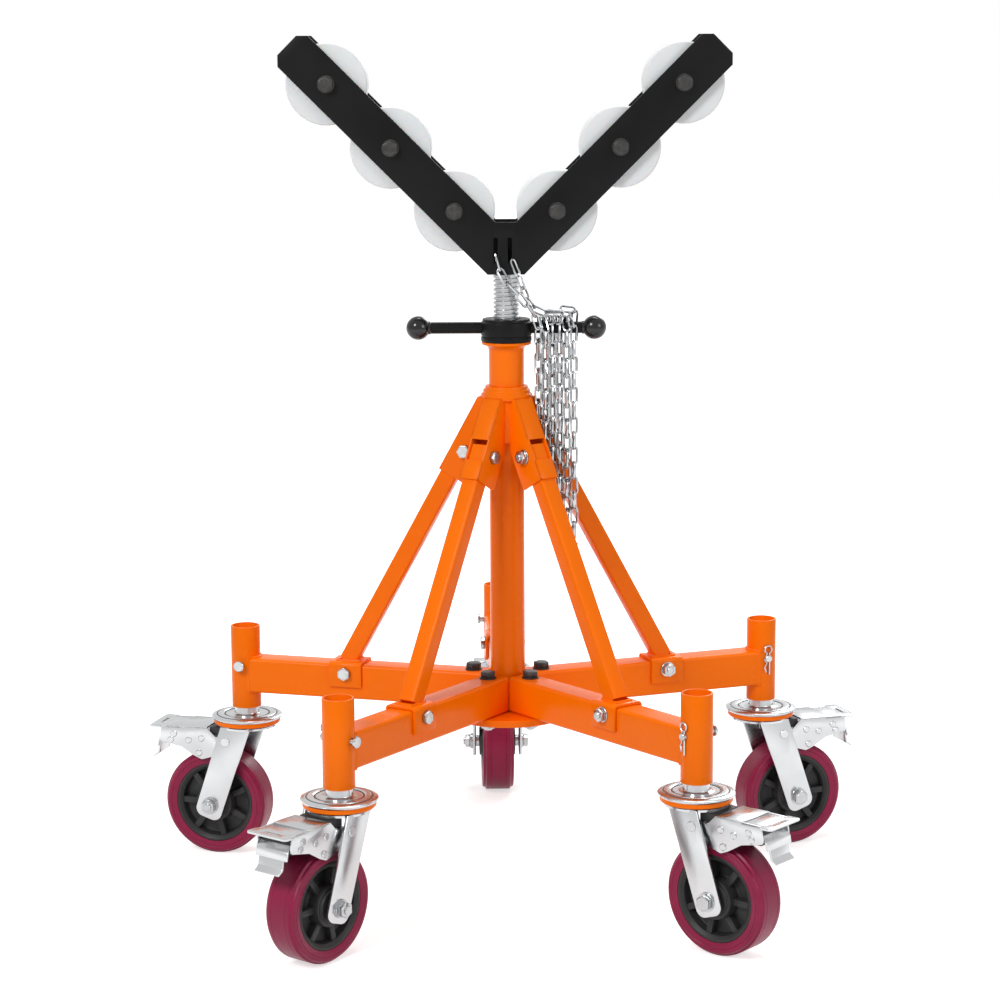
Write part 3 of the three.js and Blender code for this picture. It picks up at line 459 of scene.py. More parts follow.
def wheel_place(k):
    """A wheel's own frame: its axle along Z."""
    trail = bpy.context.scene.stand_casters.trail
    return caster_place(k) @ at(trail, 0, AXLE_HEIGHT) @ ALONG_Y


def strut_lean(sizes, base):
    """A strut's lean from upright, its length from top point to saddle, and the top point's height."""
    leg_top = LEG_UNDER + base.leg_height
    rise = sizes.top_rise - SEAT - sizes.saddle_wall
    run = sizes.saddle_reach - sizes.top_reach
    return math.atan2(run, rise), math.hypot(run, rise), leg_top + sizes.top_rise


def strut_place(sizes, base):
    """A strut's own frame: its top point at the origin, +Z up along it, +X outward."""
    lean, _, top = strut_lean(sizes, base)
    return at(sizes.top_reach, 0, top) @ Matrix.Rotation(-lean, 4, "Y")


# Finishes

def set_inputs(tree, node, inputs):
    """Gives a node's inputs their values, or links them to another node's outputs."""
    for name, value in inputs.items():
        if isinstance(value, bpy.types.NodeSocket):
            tree.links.new(value, node.inputs[name])
        else:
            node.inputs[name].default_value = value


def add_node(tree, kind, inputs=None, **settings):
    """A shader node with its settings and its inputs."""
    node = tree.nodes.new(f"ShaderNode{kind}")
    for name, value in settings.items():
        setattr(node, name, value)
    set_inputs(tree, node, inputs or {})
    return node


def group(name, inputs, outputs):
    """A node group with named sockets. Each input is (socket type, name, default)."""
    tree = bpy.data.node_groups.new(name, "ShaderNodeTree")
    for kind, label, value in inputs:
        tree.interface.new_socket(label, in_out="INPUT", socket_type=kind).default_value = value
    for kind, label in outputs:
        tree.interface.new_socket(label, in_out="OUTPUT", socket_type=kind)
    return tree, tree.nodes.new("NodeGroupInput"), tree.nodes.new("NodeGroupOutput")


def noise(tree, scale, detail=2.0):
    """A noise texture on Object coordinates, with its scale from a socket."""
    places = add_node(tree, "TexCoord").outputs["Object"]
    return add_node(tree, "TexNoise", {"Vector": places, "Scale": scale, "Detail": detail})


def bands(tree, scale):
    """Bands across Y on Object coordinates, with their scale from a socket."""
    places = add_node(tree, "TexCoord").outputs["Object"]
    inputs = {"Vector": places, "Scale": scale, "Distortion": 0.6, "Detail": 1.0}
    return add_node(tree, "TexWave", inputs, bands_direction="Y")


# The part of the noise's range that clouds spread over, in colour and in roughness
COLOUR_FROM = 0.35
COLOUR_TO = 0.65
ROUGH_FROM = 0.3
ROUGH_TO = 0.7


def mottle_group():
    """Slow changes of colour and roughness over a surface."""
    found = bpy.data.node_groups.get("Mottle")
    if found:
        return found
    inputs = [
        ("NodeSocketColor", "Colour", (0.5, 0.5, 0.5, 1)), ("NodeSocketColor", "Other", (0.4, 0.4, 0.4, 1)),
        ("NodeSocketFloat", "Scale", 20.0), ("NodeSocketFloat", "Smooth", 0.3), ("NodeSocketFloat", "Rough", 0.5),
    ]
    tree, given, put = group("Mottle", inputs, [("NodeSocketColor", "Colour"), ("NodeSocketFloat", "Roughness")])
    cloud = noise(tree, given.outputs["Scale"], 4.0).outputs["Fac"]
    spread = add_node(tree, "MapRange", {"Value": cloud, "From Min": COLOUR_FROM, "From Max": COLOUR_TO})
    mix = add_node(tree, "Mix", {
        "Factor": spread.outputs["Result"], "A": given.outputs["Colour"], "B": given.outputs["Other"],
    }, data_type="RGBA")
    rough = add_node(tree, "MapRange", {
        "Value": cloud, "From Min": ROUGH_FROM, "From Max": ROUGH_TO,
        "To Min": given.outputs["Smooth"], "To Max": given.outputs["Rough"],
    })
    set_inputs(tree, put, {"Colour": mix.outputs["Result"], "Roughness": rough.outputs["Result"]})
    return tree


def relief_group(name, strength, pattern):
    """Fine unevenness of a surface, from a pattern that is made in the group's tree."""
    found = bpy.data.node_groups.get(name)
    if found:
        return found
    inputs = [("NodeSocketFloat", "Scale", 400.0), ("NodeSocketFloat", "Depth", 0.0001)]
    tree, given, put = group(name, inputs, [("NodeSocketVector", "Normal")])
    height = pattern(tree, given.outputs["Scale"]).outputs["Fac"]
    bump = add_node(tree, "Bump", {"Strength": strength, "Height": height, "Distance": given.outputs["Depth"]})
    set_inputs(tree, put, {"Normal": bump.outputs["Normal"]})
    return tree


# Reliefs: orange peel, casting skin or moulded grain, and tool marks
SKIN = ("Skin", 0.6, noise)
LATHE_MARKS = ("Lathe marks", 0.4, bands)

# Each finish: its colour's setting, the share of that colour in its clouds, the clouds' scale with the least and most
# roughness, the relief with its scale and depth, and the shader's plain values
FINISHES = {
    "orange_paint": ("paint", 0.95, (9, 0.22, 0.30), (SKIN, 900, 0.00001), {"Specular IOR Level": 0.12}),
    "zinc_plate": ("zinc", 0.94, (30, 0.21, 0.26), (SKIN, 700, 0.000003), {"Metallic": 1}),
    "bolt_steel": ("steel", 0.88, (120, 0.18, 0.28), (SKIN, 1500, 0.000003), {"Metallic": 1}),
    "chain_zinc": ("steel", 0.8, (150, 0.12, 0.24), (SKIN, 1500, 0.000003), {"Metallic": 1}),
    "screw_steel": ("screw", 0.75, (90, 0.2, 0.36), (SKIN, 1500, 0.000004), {"Metallic": 1}),
    "tread_maroon": ("tread", 0.86, (25, 0.3, 0.42), (SKIN, 500, 0.00001), {"Specular IOR Level": 0.25}),
    # This finish is also the painted shade under the fork dishes and the pedals
    "hub_plastic": ("hub", 0.8, (40, 0.4, 0.52), (SKIN, 1300, 0.00002), {"Specular IOR Level": 0.25}),
    "black_paint": ("black", 1.35, (12, 0.32, 0.44), (SKIN, 1500, 0.000012), {"Specular IOR Level": 0.12}),
    # This finish is also the painted shade in the swivel discs' grooves and under their seals
    "black_bolt": (
        "bolt", 1.5, (150, 0.3, 0.45), (SKIN, 1500, 0.000006), {"Metallic": 0.5, "Specular IOR Level": 0.3},
    ),
    "knob_black": ("knob", 1.3, (30, 0.08, 0.14), (SKIN, 300, 0.000004), {"Specular IOR Level": 0.4}),
    "roller_nylon": (
        "roller", 0.97, (14, 0.34, 0.46), (LATHE_MARKS, 500, 0.00001),
        {"Specular IOR Level": 0.3, "Subsurface Weight": 0.15, "Subsurface Scale": 0.004},
    ),
}


def finish(name):
    """A material: a mottled colour and roughness, a fine relief and plain shader values."""
    label = f"{name}_finish"
    found = bpy.data.materials.get(label)
    if found:
        return found
    setting, shade, (scale, smooth, rough), (relief, grain, depth), plain = FINISHES[name]
    tint = getattr(bpy.context.scene.stand_colours, setting)
    material = bpy.data.materials.new(label)
    material.use_nodes = True
    tree = material.node_tree
    cloud = add_node(tree, "Group", {
        "Colour": (*tint, 1), "Other": (*(part * shade for part in tint), 1),
        "Scale": scale, "Smooth": smooth, "Rough": rough,
    }, node_tree=mottle_group())
    surface = add_node(tree, "Group", {"Scale": grain, "Depth": depth}, node_tree=relief_group(*relief))
    set_inputs(tree, tree.nodes["Principled BSDF"], {
        "Base Color": cloud.outputs["Colour"], "Roughness": cloud.outputs["Roughness"],
        "Normal": surface.outputs["Normal"], **plain,
    })
    return material


# Fasteners: across flats, heights of head and nut, shank, and thread past the nut

M12 = {"across": 0.019, "head": 0.008, "nut": 0.010, "shank": 0.012, "tail": 0.003}
M10 = {"across": 0.017, "head": 0.007, "nut": 0.009, "shank": 0.010, "tail": 0.0025}
# Washers: their thickness and their radius as a share of the flats, and that share for a head's turned crown
WASHER = 0.002
WASHER_SHARE = 0.62
CROWN_SHARE = 0.44


def add_washer(piece, place, bolt):
    """A washer over z = 0."""
    stamp(piece, disc(WASHER_SHARE * bolt["across"], 0, WASHER), place)


def add_head(piece, place, bolt):
    """A hex head over z = 0 with its turned crown."""
    stamp(piece, hexagon(bolt["across"], 0, bolt["head"]), place)
    stamp(piece, disc(CROWN_SHARE * bolt["across"], bolt["head"] / 2, bolt["head"] + SEAT), place)


def add_nut(piece, place, bolt):
    """A nut over z = 0 on its washer, with the bolt's end standing out."""
    add_washer(piece, place, bolt)
    stamp(piece, hexagon(bolt["across"], WASHER, bolt["nut"]), place)
    stamp(piece, disc(bolt["shank"] / 2, 0, bolt["nut"] + bolt["tail"], edge=0.001), place)


def add_bolt(piece, middle, reach, bolt):
    """A bolt's head and nut on the two sides of what it clamps."""
    add_head(piece, middle @ at(0, 0, reach), bolt)
    add_nut(piece, middle @ FLIP @ at(0, 0, reach), bolt)


class STAND_OT_column(bpy.types.Operator):
    """Makes the column tube with its flared flange"""

    bl_idname = "stand.column"
    bl_label = "Column"

    def execute(self, context):
        s = context.scene.stand_base
        outer = s.column_diameter / 2
        inner = outer - s.column_wall
        rim = s.flange_diameter / 2
        under = COLUMN_TOP - s.flange_thickness
        outline = rounded([
            (inner, LEG_UNDER), (outer, LEG_UNDER), (outer, under - SEAT, s.flange_flare),
            (rim, under, 0.0012), (rim, COLUMN_TOP, 0.0012), (inner, COLUMN_TOP),
        ], steps=6)
        piece = bmesh.new()
        stamp(piece, turned(outline, 64))
        finish_piece(piece, "column", "frame", ["orange_paint"], ["column_tube"])
        return {"FINISHED"}


class STAND_OT_base(bpy.types.Operator):
    """Makes the round base plate and the legs' bolts"""

    bl_idname = "stand.base"
    bl_label = "Base plate"

    def execute(self, context):
        s = context.scene.stand_base
        top = LEG_UNDER - SEAT
        foot = top - s.plate_thickness
        plate = bmesh.new()
        stamp(plate, disc(s.plate_diameter / 2, foot, top, edge=0.0015, steps=96))
        finish_piece(plate, "base_disc", "frame", ["orange_paint"], ["base_plate"])
        bolts = bmesh.new()
        nuts = bmesh.new()
        for k in LEGS:
            over = leg_place(k) @ at(s.leg_bolt_reach, 0, LEG_UNDER + s.leg_height)
            under = leg_place(k) @ at(s.leg_bolt_reach, 0, foot)
            add_washer(bolts, over, M12)
            add_head(bolts, over @ at(0, 0, WASHER), M12)
            add_nut(nuts, under @ FLIP, M12)
        finish_piece(bolts, "leg_bolts", "frame", ["black_bolt"])
        finish_piece(nuts, "leg_nuts", "frame", ["bolt_steel"])
        return {"FINISHED"}


def leg_shape(s):
    """A leg's tube with rounded long edges, along +X to its socket."""
    half = s.leg_width / 2
    outline = rounded([
        (-half, LEG_UNDER, s.leg_corner), (half, LEG_UNDER, s.leg_corner),
        (half, LEG_UNDER + s.leg_height, s.leg_corner), (-half, LEG_UNDER + s.leg_height, s.leg_corner),
    ], steps=5)
    return slab(outline, -REACH, -s.leg_end)


def socket_shape(s):
    """A caster socket's tube with eased rims."""
    outer = s.socket_diameter / 2
    inner = outer - s.socket_wall
    return turned(rounded([
        (inner, SOCKET_FOOT, 0.0006), (outer, SOCKET_FOOT, 0.0009), (outer, SOCKET_RIM, 0.0009),
        (inner, SOCKET_RIM, 0.0006),
    ], steps=2), 48)


WELD_STEPS = 8


def socket_weld(s):
    """The bead round a leg's end, on its socket."""
    half = s.leg_width / 2 - s.leg_corner / 2
    radius = s.socket_diameter / 2
    points = []
    for z, way in ((LEG_UNDER + s.leg_height, 1), (LEG_UNDER, -1)):
        for step in range(WELD_STEPS + 1):
            y = way * half * (1 - 2 * step / WELD_STEPS)
            points.append(Vector((REACH - math.sqrt(radius**2 - y**2), y, z)))
    return wire(points, s.weld, closed=True)


# A hairpin clip in X and Z, from its middle: its wire, its ring, and its straight and waved legs
CLIP_WIRE = 0.0012
CLIP_RING = 0.0055
CLIP_RING_RISE = 0.007
CLIP_MOUTH = 0.3
CLIP_STRAIGHT = [(0.002, -0.030), (0.002, -0.002)]
CLIP_WAVE = [(-0.003, -0.002), (-0.0055, -0.008), (-0.002, -0.013), (-0.0055, -0.019), (-0.003, -0.026)]


def hairpin():
    """A hairpin clip through a clevis pin's tail: a straight leg, a ring and a waved leg."""
    steps = 12
    ring = []
    for step in range(steps + 1):
        turn = CLIP_MOUTH - math.pi / 2 + (TURN - 2 * CLIP_MOUTH) * step / steps
        ring.append((CLIP_RING * math.cos(turn), CLIP_RING_RISE + CLIP_RING * math.sin(turn)))
    return wire([Vector((x, 0, z)) for x, z in CLIP_STRAIGHT + ring + CLIP_WAVE], CLIP_WIRE)


class STAND_OT_legs(bpy.types.Operator):
    """Makes the legs with their caster sockets, pins and clips"""

    bl_idname = "stand.legs"
    bl_label = "Legs"

    def execute(self, context):
        s = context.scene.stand_base
        pin_z = LEG_UNDER + s.pin_rise
        pin_end = s.socket_diameter / 2 + s.pin_stand_off
        for k in LEGS:
            place = leg_place(k)
            leg = bmesh.new()
            stamp(leg, leg_shape(s), place @ QUARTER)
            stamp(leg, socket_shape(s), place @ at(REACH, 0, 0))
            stamp(leg, socket_weld(s), place)
            finish_piece(leg, f"leg_tube_{k}", "frame", ["orange_paint"], [f"leg_{k}"])
            pin = bmesh.new()
            along = place @ at(REACH, 0, pin_z) @ ALONG_Y
            stamp(pin, disc(s.pin_diameter / 2, -pin_end, pin_end + s.pin_sunk, edge=0.0008), along)
            stamp(pin, disc(s.pin_head / 2, pin_end, pin_end + s.pin_head_height, edge=0.001), along)
            stamp(pin, hairpin(), place @ at(REACH, s.clip_inset - pin_end, pin_z + s.clip_rise))
            finish_piece(pin, f"clevis_pin_{k}", "frame", ["bolt_steel"])
        return {"FINISHED"}


# How far a strut's open end goes in, in sides
STRUT_MOUTH = 1.2


def strut_shape(s, length):
    """A strut's square tube, open at its upper end."""
    half = s.side / 2
    square = [(-half, -half), (half, -half), (half, half), (-half, half)]
    shape = slab(rounded([(*corner, s.corner) for corner in square], steps=4), -length, s.past_top)
    ends = [face for face in shape.faces if face.calc_center_median().y > s.past_top - MERGE]
    bmesh.ops.inset_region(shape, faces=ends, thickness=s.wall)
    drawn = bmesh.ops.extrude_face_region(shape, geom=ends)
    moved = [item for item in drawn["geom"] if isinstance(item, bmesh.types.BMVert)]
    bmesh.ops.translate(shape, verts=moved, vec=(0, -STRUT_MOUTH * s.side, 0))
    bmesh.ops.delete(shape, geom=ends, context="FACES_ONLY")
    return shape


def saddle_shape(s, base):
    """A bent saddle over a leg, in Y and Z, along X."""
    inner = base.leg_width / 2 + SEAT
    outer = inner + s.saddle_wall
    under = LEG_UNDER + base.leg_height + SEAT
    top = under + s.saddle_wall
    foot = top - s.saddle_side
    outline = rounded([
        (-outer, foot), (-outer, top, 0.006), (outer, top, 0.006), (outer, foot),
        (inner, foot), (inner, under, 0.002), (-inner, under, 0.002), (-inner, foot),
    ], steps=4)
    half = s.saddle_length / 2
    return pressed(outline, -half, half, SADDLE_EASE)


class STAND_OT_struts(bpy.types.Operator):
    """Makes the struts with their saddles and bolts"""

    bl_idname = "stand.struts"
    bl_label = "Struts"

    def execute(self, context):
        s = context.scene.stand_braces
        base = context.scene.stand_base
        lean, length, _ = strut_lean(s, base)
        outside = base.leg_width / 2 + SEAT + s.saddle_wall
        top = LEG_UNDER + base.leg_height + SEAT + s.saddle_wall
        half = s.side / 2
        reach = half / math.cos(lean)
        corners = [(-reach, -half), (0, -half), (reach, -half), (reach, half), (0, half), (-reach, half)]
        bead = [Vector((s.saddle_reach + x, y, top)) for x, y in corners]
        for k in LEGS:
            place = leg_place(k)
            strut = bmesh.new()
            stamp(strut, strut_shape(s, length), place @ strut_place(s, base) @ UPRIGHT)
            stamp(strut, saddle_shape(s, base), place @ at(s.saddle_reach, 0, 0) @ QUARTER)
            stamp(strut, wire(bead, s.weld, closed=True), place)
            finish_piece(strut, f"brace_{k}", "frame", ["orange_paint"], [f"strut_{k}"])
            bolts = bmesh.new()
            middle = place @ at(s.saddle_reach, 0, top - s.saddle_bolt_drop) @ ALONG_Y
            add_bolt(bolts, middle, outside, M10)
            finish_piece(bolts, f"saddle_bolt_{k}", "frame", ["bolt_steel"])
        return {"FINISHED"}


# The crown's ring has its two steps on this many parts of its height, and its ribs reach into its bore's wall
RING_PARTS = 6
RIB_SUNK = 0.001


def crown_ring(s, bore):
    """The crown's stepped ring."""
    rim = s.ring_diameter / 2
    foot = RING_TOP - s.ring_height
    step = s.ring_height / RING_PARTS
    return turned(rounded([
        (bore, foot), (rim, foot, 0.0008), (rim, foot + 2 * step, 0.0012),
        (rim - s.ring_step, foot + 3 * step, 0.0008), (rim - s.ring_step, foot + 4 * step, 0.0012),
        (rim - 2 * s.ring_step, foot + 5 * step, 0.0008), (rim - 2 * s.ring_step, RING_TOP, 0.0012),
        (bore, RING_TOP),
    ], steps=2), 64)


def sleeve_shapes(s, base, bore):
    """A sleeve's two cheeks and its face above and below the window, in a leg's frame."""
    lean, _, top = strut_lean(s, base)
    inside = s.side / 2 + SEAT
    outside = inside + s.sleeve_wall
    roof = RING_TOP - s.ring_height + s.ring_step

    def on_strut(along, outward):
        return (
            s.top_reach + outward * math.cos(lean) - along * math.sin(lean),
            top + outward * math.sin(lean) + along * math.cos(lean),
        )

    inner_x, inner_z = on_strut(-s.sleeve_below, outside - s.sleeve_depth)
    column_foot = inner_z + (inner_x - bore) / math.tan(lean)
    to_roof = (roof - on_strut(0, outside)[1]) / math.cos(lean)
    cheek = rounded([
        on_strut(-s.sleeve_below, outside), on_strut(to_roof, outside), (bore, roof), (bore, column_foot),
        (inner_x, inner_z, 0.004),
    ], steps=3)
    for low, high in ((inside, outside), (-outside, -inside)):
        yield pressed(cheek, low, high, SLEEVE_EASE, FOLD)
    for low, high in ((-s.sleeve_below, s.window_from), (s.window_to, to_roof)):
        face = [on_strut(low, inside), on_strut(low, outside), on_strut(high, outside), on_strut(high, inside)]
        yield pressed(face, -outside, outside, SLEEVE_EASE, FOLD)


class STAND_OT_crown(bpy.types.Operator):
    """Makes the crown with its sleeves, ribs and cross bolts"""

    bl_idname = "stand.crown"
    bl_label = "Crown"

    def execute(self, context):
        s = context.scene.stand_braces
        base = context.scene.stand_base
        bore = base.column_diameter / 2 + SEAT
        roof = RING_TOP - s.ring_height + s.ring_step
        outside = s.side / 2 + SEAT + s.sleeve_wall
        crown = bmesh.new()
        stamp(crown, crown_ring(s, bore))
        bolts = bmesh.new()
        for k in LEGS:
            place = leg_place(k)
            for shape in sleeve_shapes(s, base, bore):
                stamp(crown, shape, place)
            low = (bore - RIB_SUNK, -s.rib_width / 2, roof - s.rib_length)
            high = (bore + s.rib_thickness, s.rib_width / 2, roof)
            stamp(crown, block(low, high, 0.0012), place @ Matrix.Rotation(math.pi / len(LEGS), 4, "Z"))
            middle = place @ strut_place(s, base) @ at(-s.bolt_inset, 0, s.bolt_along) @ ALONG_Y
            add_bolt(bolts, middle, outside, M10)
        finish_piece(crown, "crown", "frame", ["orange_paint"], ["strut_crown"])
        finish_piece(bolts, "crown_bolts", "frame", ["bolt_steel"])
        return {"FINISHED"}


# A swivel disc's face: (in from its rim, under its top, radius), and dark rings of painted shade laid in its pressed
# grooves
DISC_FACE = [
    (0, 0.0025, 0.002), (0.006, 0.001, 0.001), (0.008, 0.0012, 0.0005), (0.010, 0, 0.0008), (0.016, 0, 0.0008),
    (0.018, 0.0012, 0.0005),
]
DISC_BEVEL = 0.002
DISC_DISH = 0.0012
DISC_FILLET = 0.006
SHADE_RING_INSETS = (0.0069, 0.0180)
SHADE_RING_WIDTH = 0.0021
SHADE_RING_FOOT = 0.002
SHADE_RING_TOP = 0.0008
# The kingpin's head, under the fork's top, and a dark disc of painted shade in the gap under the seal
KING_FOOT = 0.0105
KING_TOP = 0.0063
SHADE_GAP_INSET = 0.0015
SHADE_GAP_BORE = 0.036
SHADE_GAP_UNDER = 0.0002
SHADE_GAP_OVER = 0.001


class STAND_OT_swivels(bpy.types.Operator):
    """Makes the casters' stems, discs and seal rings"""

    bl_idname = "stand.swivels"
    bl_label = "Swivels"

    def execute(self, context):
        s = context.scene.stand_casters
        seal_foot = FORK_TOP + SEAT
        disc_foot = seal_foot + s.seal_thickness
        disc_top = disc_foot + s.disc_thickness
        stem = s.stem_diameter / 2
        rim = s.disc_diameter / 2
        stem_top = SOCKET_RIM - s.stem_below_rim
        face = [(rim - inset, disc_top - down, radius) for inset, down, radius in DISC_FACE]
        profile = rounded([
            (0, disc_foot), (rim - DISC_BEVEL, disc_foot), (rim, disc_foot + DISC_BEVEL, 0.001), *face,
            (stem + DISC_FILLET, disc_top - DISC_DISH, 0.002), (stem, disc_top, 0.002), (stem, stem_top, 0.0015),
            (0, stem_top),
        ], steps=2)
        seal_rim = s.seal_diameter / 2
        seal = rounded([
            (s.seal_bore / 2, seal_foot), (seal_rim, seal_foot, 0.002), (seal_rim, disc_foot, 0.0008),
            (s.seal_bore / 2, disc_foot),
        ], steps=3)
        for k in LEGS:
            place = leg_place(k) @ at(REACH, 0, 0)
            plate = bmesh.new()
            stamp(plate, turned(profile, 64), place)
            stamp(plate, disc(s.kingpin / 2, FORK_TOP - KING_FOOT, FORK_TOP - KING_TOP, edge=0.0008), place)
            # Dark rings of painted shade in the disc's pressed grooves
            for inset in SHADE_RING_INSETS:
                outer = rim - inset
                groove_shade = disc(
                    outer, disc_top - SHADE_RING_FOOT, disc_top - SHADE_RING_TOP, bore=outer - SHADE_RING_WIDTH, edge=0.0002, steps=64
                )
                stamp(plate, groove_shade, place, 1)
            # A dark disc of painted shade in the gap under the seal
            gap_shade = disc(seal_rim - SHADE_GAP_INSET, seal_foot - SHADE_GAP_UNDER, seal_foot + SHADE_GAP_OVER, bore=SHADE_GAP_BORE, steps=64)
            stamp(plate, gap_shade, place, 1)
            finish_piece(plate, f"swivel_disc_{k}", "frame", ["zinc_plate", "black_bolt"], [f"caster_plate_{k}"])
            ring = bmesh.new()
            stamp(ring, turned(seal, 64), place)
            finish_piece(ring, f"swivel_seal_{k}", "frame", ["orange_paint"])
        return {"FINISHED"}


# A fork's leg: how far under the dish's top it starts, and its end's corners as a share of the end's radius
FORK_LAP = 0.001
FORK_CORNER = 0.62


def fork_leg(s):
    """One leg of a fork: a leaning strip with a round end at the axle."""
    middle = Vector(((s.fork_top_from + s.fork_top_to) / 2, FORK_TOP))
    axle = Vector((s.trail, AXLE_HEIGHT))
    down = (axle - middle).normalized()
    side = Vector((-down.y, down.x)) * s.fork_end
    tip = axle + down * s.fork_end
    corner = FORK_CORNER * s.fork_end
    return rounded([
        (s.fork_top_from, FORK_TOP - FORK_LAP), (s.fork_top_to, FORK_TOP - FORK_LAP),
        (*(tip + side), corner), (*(tip - side), corner),
    ], steps=8)


# The sloped edge and skirt of a fork's dish
DISH_SLOPE = 0.004
DISH_SKIRT = 0.006
# The ends and riveted heads of a pedal's pin, past the fork
PIN_PAST = 0.0015
PIN_HEAD_SHARE = 0.85
PIN_HEAD_SUNK = 0.0005
PIN_HEAD_PAST = 0.0018
# A dark block of painted shade under the fork's dish, behind a pedal
SHADE_BLOCK_FROM = 0.024
SHADE_BLOCK_PAST = 0.003
SHADE_BLOCK_HALF = 0.026
SHADE_BLOCK_DROP = 0.012
SHADE_BLOCK_SUNK = 0.001


class STAND_OT_forks(bpy.types.Operator):
    """Makes the casters' pressed forks"""

    bl_idname = "stand.forks"
    bl_label = "Forks"

    def execute(self, context):
        s = context.scene.stand_casters
        half = s.fork_width / 2
        rim = s.fork_top_diameter / 2
        bore = s.fork_bore / 2
        foot = FORK_TOP - s.fork_top_thickness
        dish = rounded([
            (bore, foot), (rim - DISH_SLOPE, foot), (rim, foot - DISH_SKIRT, 0.003), (rim, FORK_TOP, 0.005),
            (bore, FORK_TOP),
        ], steps=5)
        for k in LEGS:
            place = caster_place(k)
            fork = bmesh.new()
            stamp(fork, turned(dish, 64), place)
            for low, high in ((half - s.fork_wall, half), (-half, s.fork_wall - half)):
                stamp(fork, pressed(fork_leg(s), low, high, FORK_EASE, FOLD), place)
            pin = place @ at(s.pedal_pin_reach, 0, s.pedal_pin_height) @ ALONG_Y
            stamp(fork, disc(s.pedal_pin / 2, -half - PIN_PAST, half + PIN_PAST, edge=0.0008), pin)
            head = PIN_HEAD_SHARE * s.pedal_pin
            for way in (pin, pin @ FLIP):
                stamp(fork, disc(head, half - PIN_HEAD_SUNK, half + PIN_HEAD_PAST, edge=0.0009), way)
            # A dark block of painted shade under the dish, where the pedal meets the fork
            low = (SHADE_BLOCK_FROM, -SHADE_BLOCK_HALF, foot - SHADE_BLOCK_DROP)
            high = (s.pedal_from + SHADE_BLOCK_PAST, SHADE_BLOCK_HALF, foot + SHADE_BLOCK_SUNK)
            stamp(fork, block(low, high, 0.002), place, 1)
            finish_piece(fork, f"fork_{k}", f"swivel_{k}", ["zinc_plate", "hub_plastic"], [f"caster_fork_{k}"])
        return {"FINISHED"}


class STAND_OT_axles(bpy.types.Operator):
    """Makes the casters' axle bolts with their washers and spacers"""

    bl_idname = "stand.axles"
    bl_label = "Axles"

    def execute(self, context):
        s = context.scene.stand_casters
        half = s.fork_width / 2
        inner = s.hub_boss_width / 2 + SEAT
        outer = half - s.fork_wall - SEAT
        for k in LEGS:
            place = wheel_place(k)
            axle = bmesh.new()
            stamp(axle, disc(M12["shank"] / 2, -half, half), place)
            for way in (place, place @ FLIP):
                stamp(axle, disc(s.axle_spacer / 2, inner, outer), way)
                stamp(axle, disc(s.axle_washer / 2, half, half + WASHER), way)
            add_nut(axle, place @ at(0, 0, half + WASHER), M12)
            add_head(axle, place @ FLIP @ at(0, 0, half + WASHER), M12)
            finish_piece(axle, f"axle_{k}", f"swivel_{k}", ["bolt_steel"], [f"caster_axle_{k}"])
        return {"FINISHED"}


def both_sides(profile):
    """A profile of one half of a wheel, mirrored to a closed loop."""
    return profile + [(radius, -height) for radius, height in reversed(profile)]


# A hub's rim: its flat, the fall of its inner slope and the draft of its walls; its boss: the step round its face
HUB_FLAT = 0.003
HUB_FALL = 0.004
HUB_DRAFT = 0.002
BOSS_STEP = 0.003
BOSS_SHOULDER = 0.004
BOSS_FACE = 0.005
# A tyre's side: (in from the tread, in from the widest place, radius). Its tread's groove: (in, off the middle)
TYRE_BEAD = (0.003, 0.0008)
TYRE_SIDE = [(0.0105, 0, 0.001), (0.0098, 0.0008, 0.0003), (0.0091, 0, 0.0006), (0.004, 0, 0.002)]
TREAD_EDGE = [(0.003, 0.001, 0.0006), (0, -0.0008, 0.001)]
TREAD_GROOVE = [(0, 0.0125), (0.0004, 0.0121), (0.0004, 0.0117), (0, 0.0113)]


class STAND_OT_wheels(bpy.types.Operator):
    """Makes the casters' moulded hubs and cast tyres"""

    bl_idname = "stand.wheels"
    bl_label = "Wheels"

    def execute(self, context):
        s = context.scene.stand_casters
        rim = s.hub_diameter / 2
        inside = rim - s.hub_rim
        boss = s.hub_boss / 2
        web = s.hub_web / 2
        rib = s.hub_spoke / 2
        edge = s.hub_width / 2
        face = s.hub_boss_width / 2
        bore = M12["shank"] / 2 + SEAT
        half_hub = rounded([
            (rim, 0), (rim, edge, 0.0008), (rim - HUB_FLAT, edge, 0.0008), (inside, edge - HUB_FALL, 0.0015),
            (inside - HUB_DRAFT, web, 0.002), (boss + HUB_DRAFT, web, 0.002), (boss, face - BOSS_STEP, 0.0015),
            (boss - BOSS_SHOULDER, face - BOSS_STEP, 0.0008), (boss - BOSS_FACE, face, 0.0008), (bore, face),
            (bore, 0),
        ], steps=3)[1:-1]
        bead = rim + SEAT
        rise, swell = TYRE_BEAD
        tread = s.wheel_diameter / 2
        half_tyre = rounded([
            (bead, 0), (bead, edge), (bead + rise, edge + swell, swell),
            *((tread - down, s.tyre_width / 2 - inset, radius) for down, inset, radius in TYRE_SIDE),
            *((tread - down, s.tread_width / 2 + past, radius) for down, past, radius in TREAD_EDGE),
            *((tread - down, off) for down, off in TREAD_GROOVE), (tread, 0),
        ], steps=3)[1:-1]
        for k in LEGS:
            place = wheel_place(k)
            hub = bmesh.new()
            stamp(hub, turned(both_sides(half_hub), 64), place)
            for n in range(s.spokes):
                turn = place @ Matrix.Rotation(TURN * n / s.spokes, 4, "Z")
                high = edge - HUB_FALL
                spoke = block((boss - HUB_DRAFT, -rib, -high), (inside, rib, high), 0.0015)
                stamp(hub, spoke, turn)
            finish_piece(hub, f"hub_{k}", f"wheel_{k}", ["hub_plastic"], [f"caster_hub_{k}"])
            tyre = bmesh.new()
            stamp(tyre, turned(both_sides(half_tyre), 96), place)
            finish_piece(tyre, f"tyre_{k}", f"wheel_{k}", ["tread_maroon"], [f"caster_tyre_{k}"])
        return {"FINISHED"}


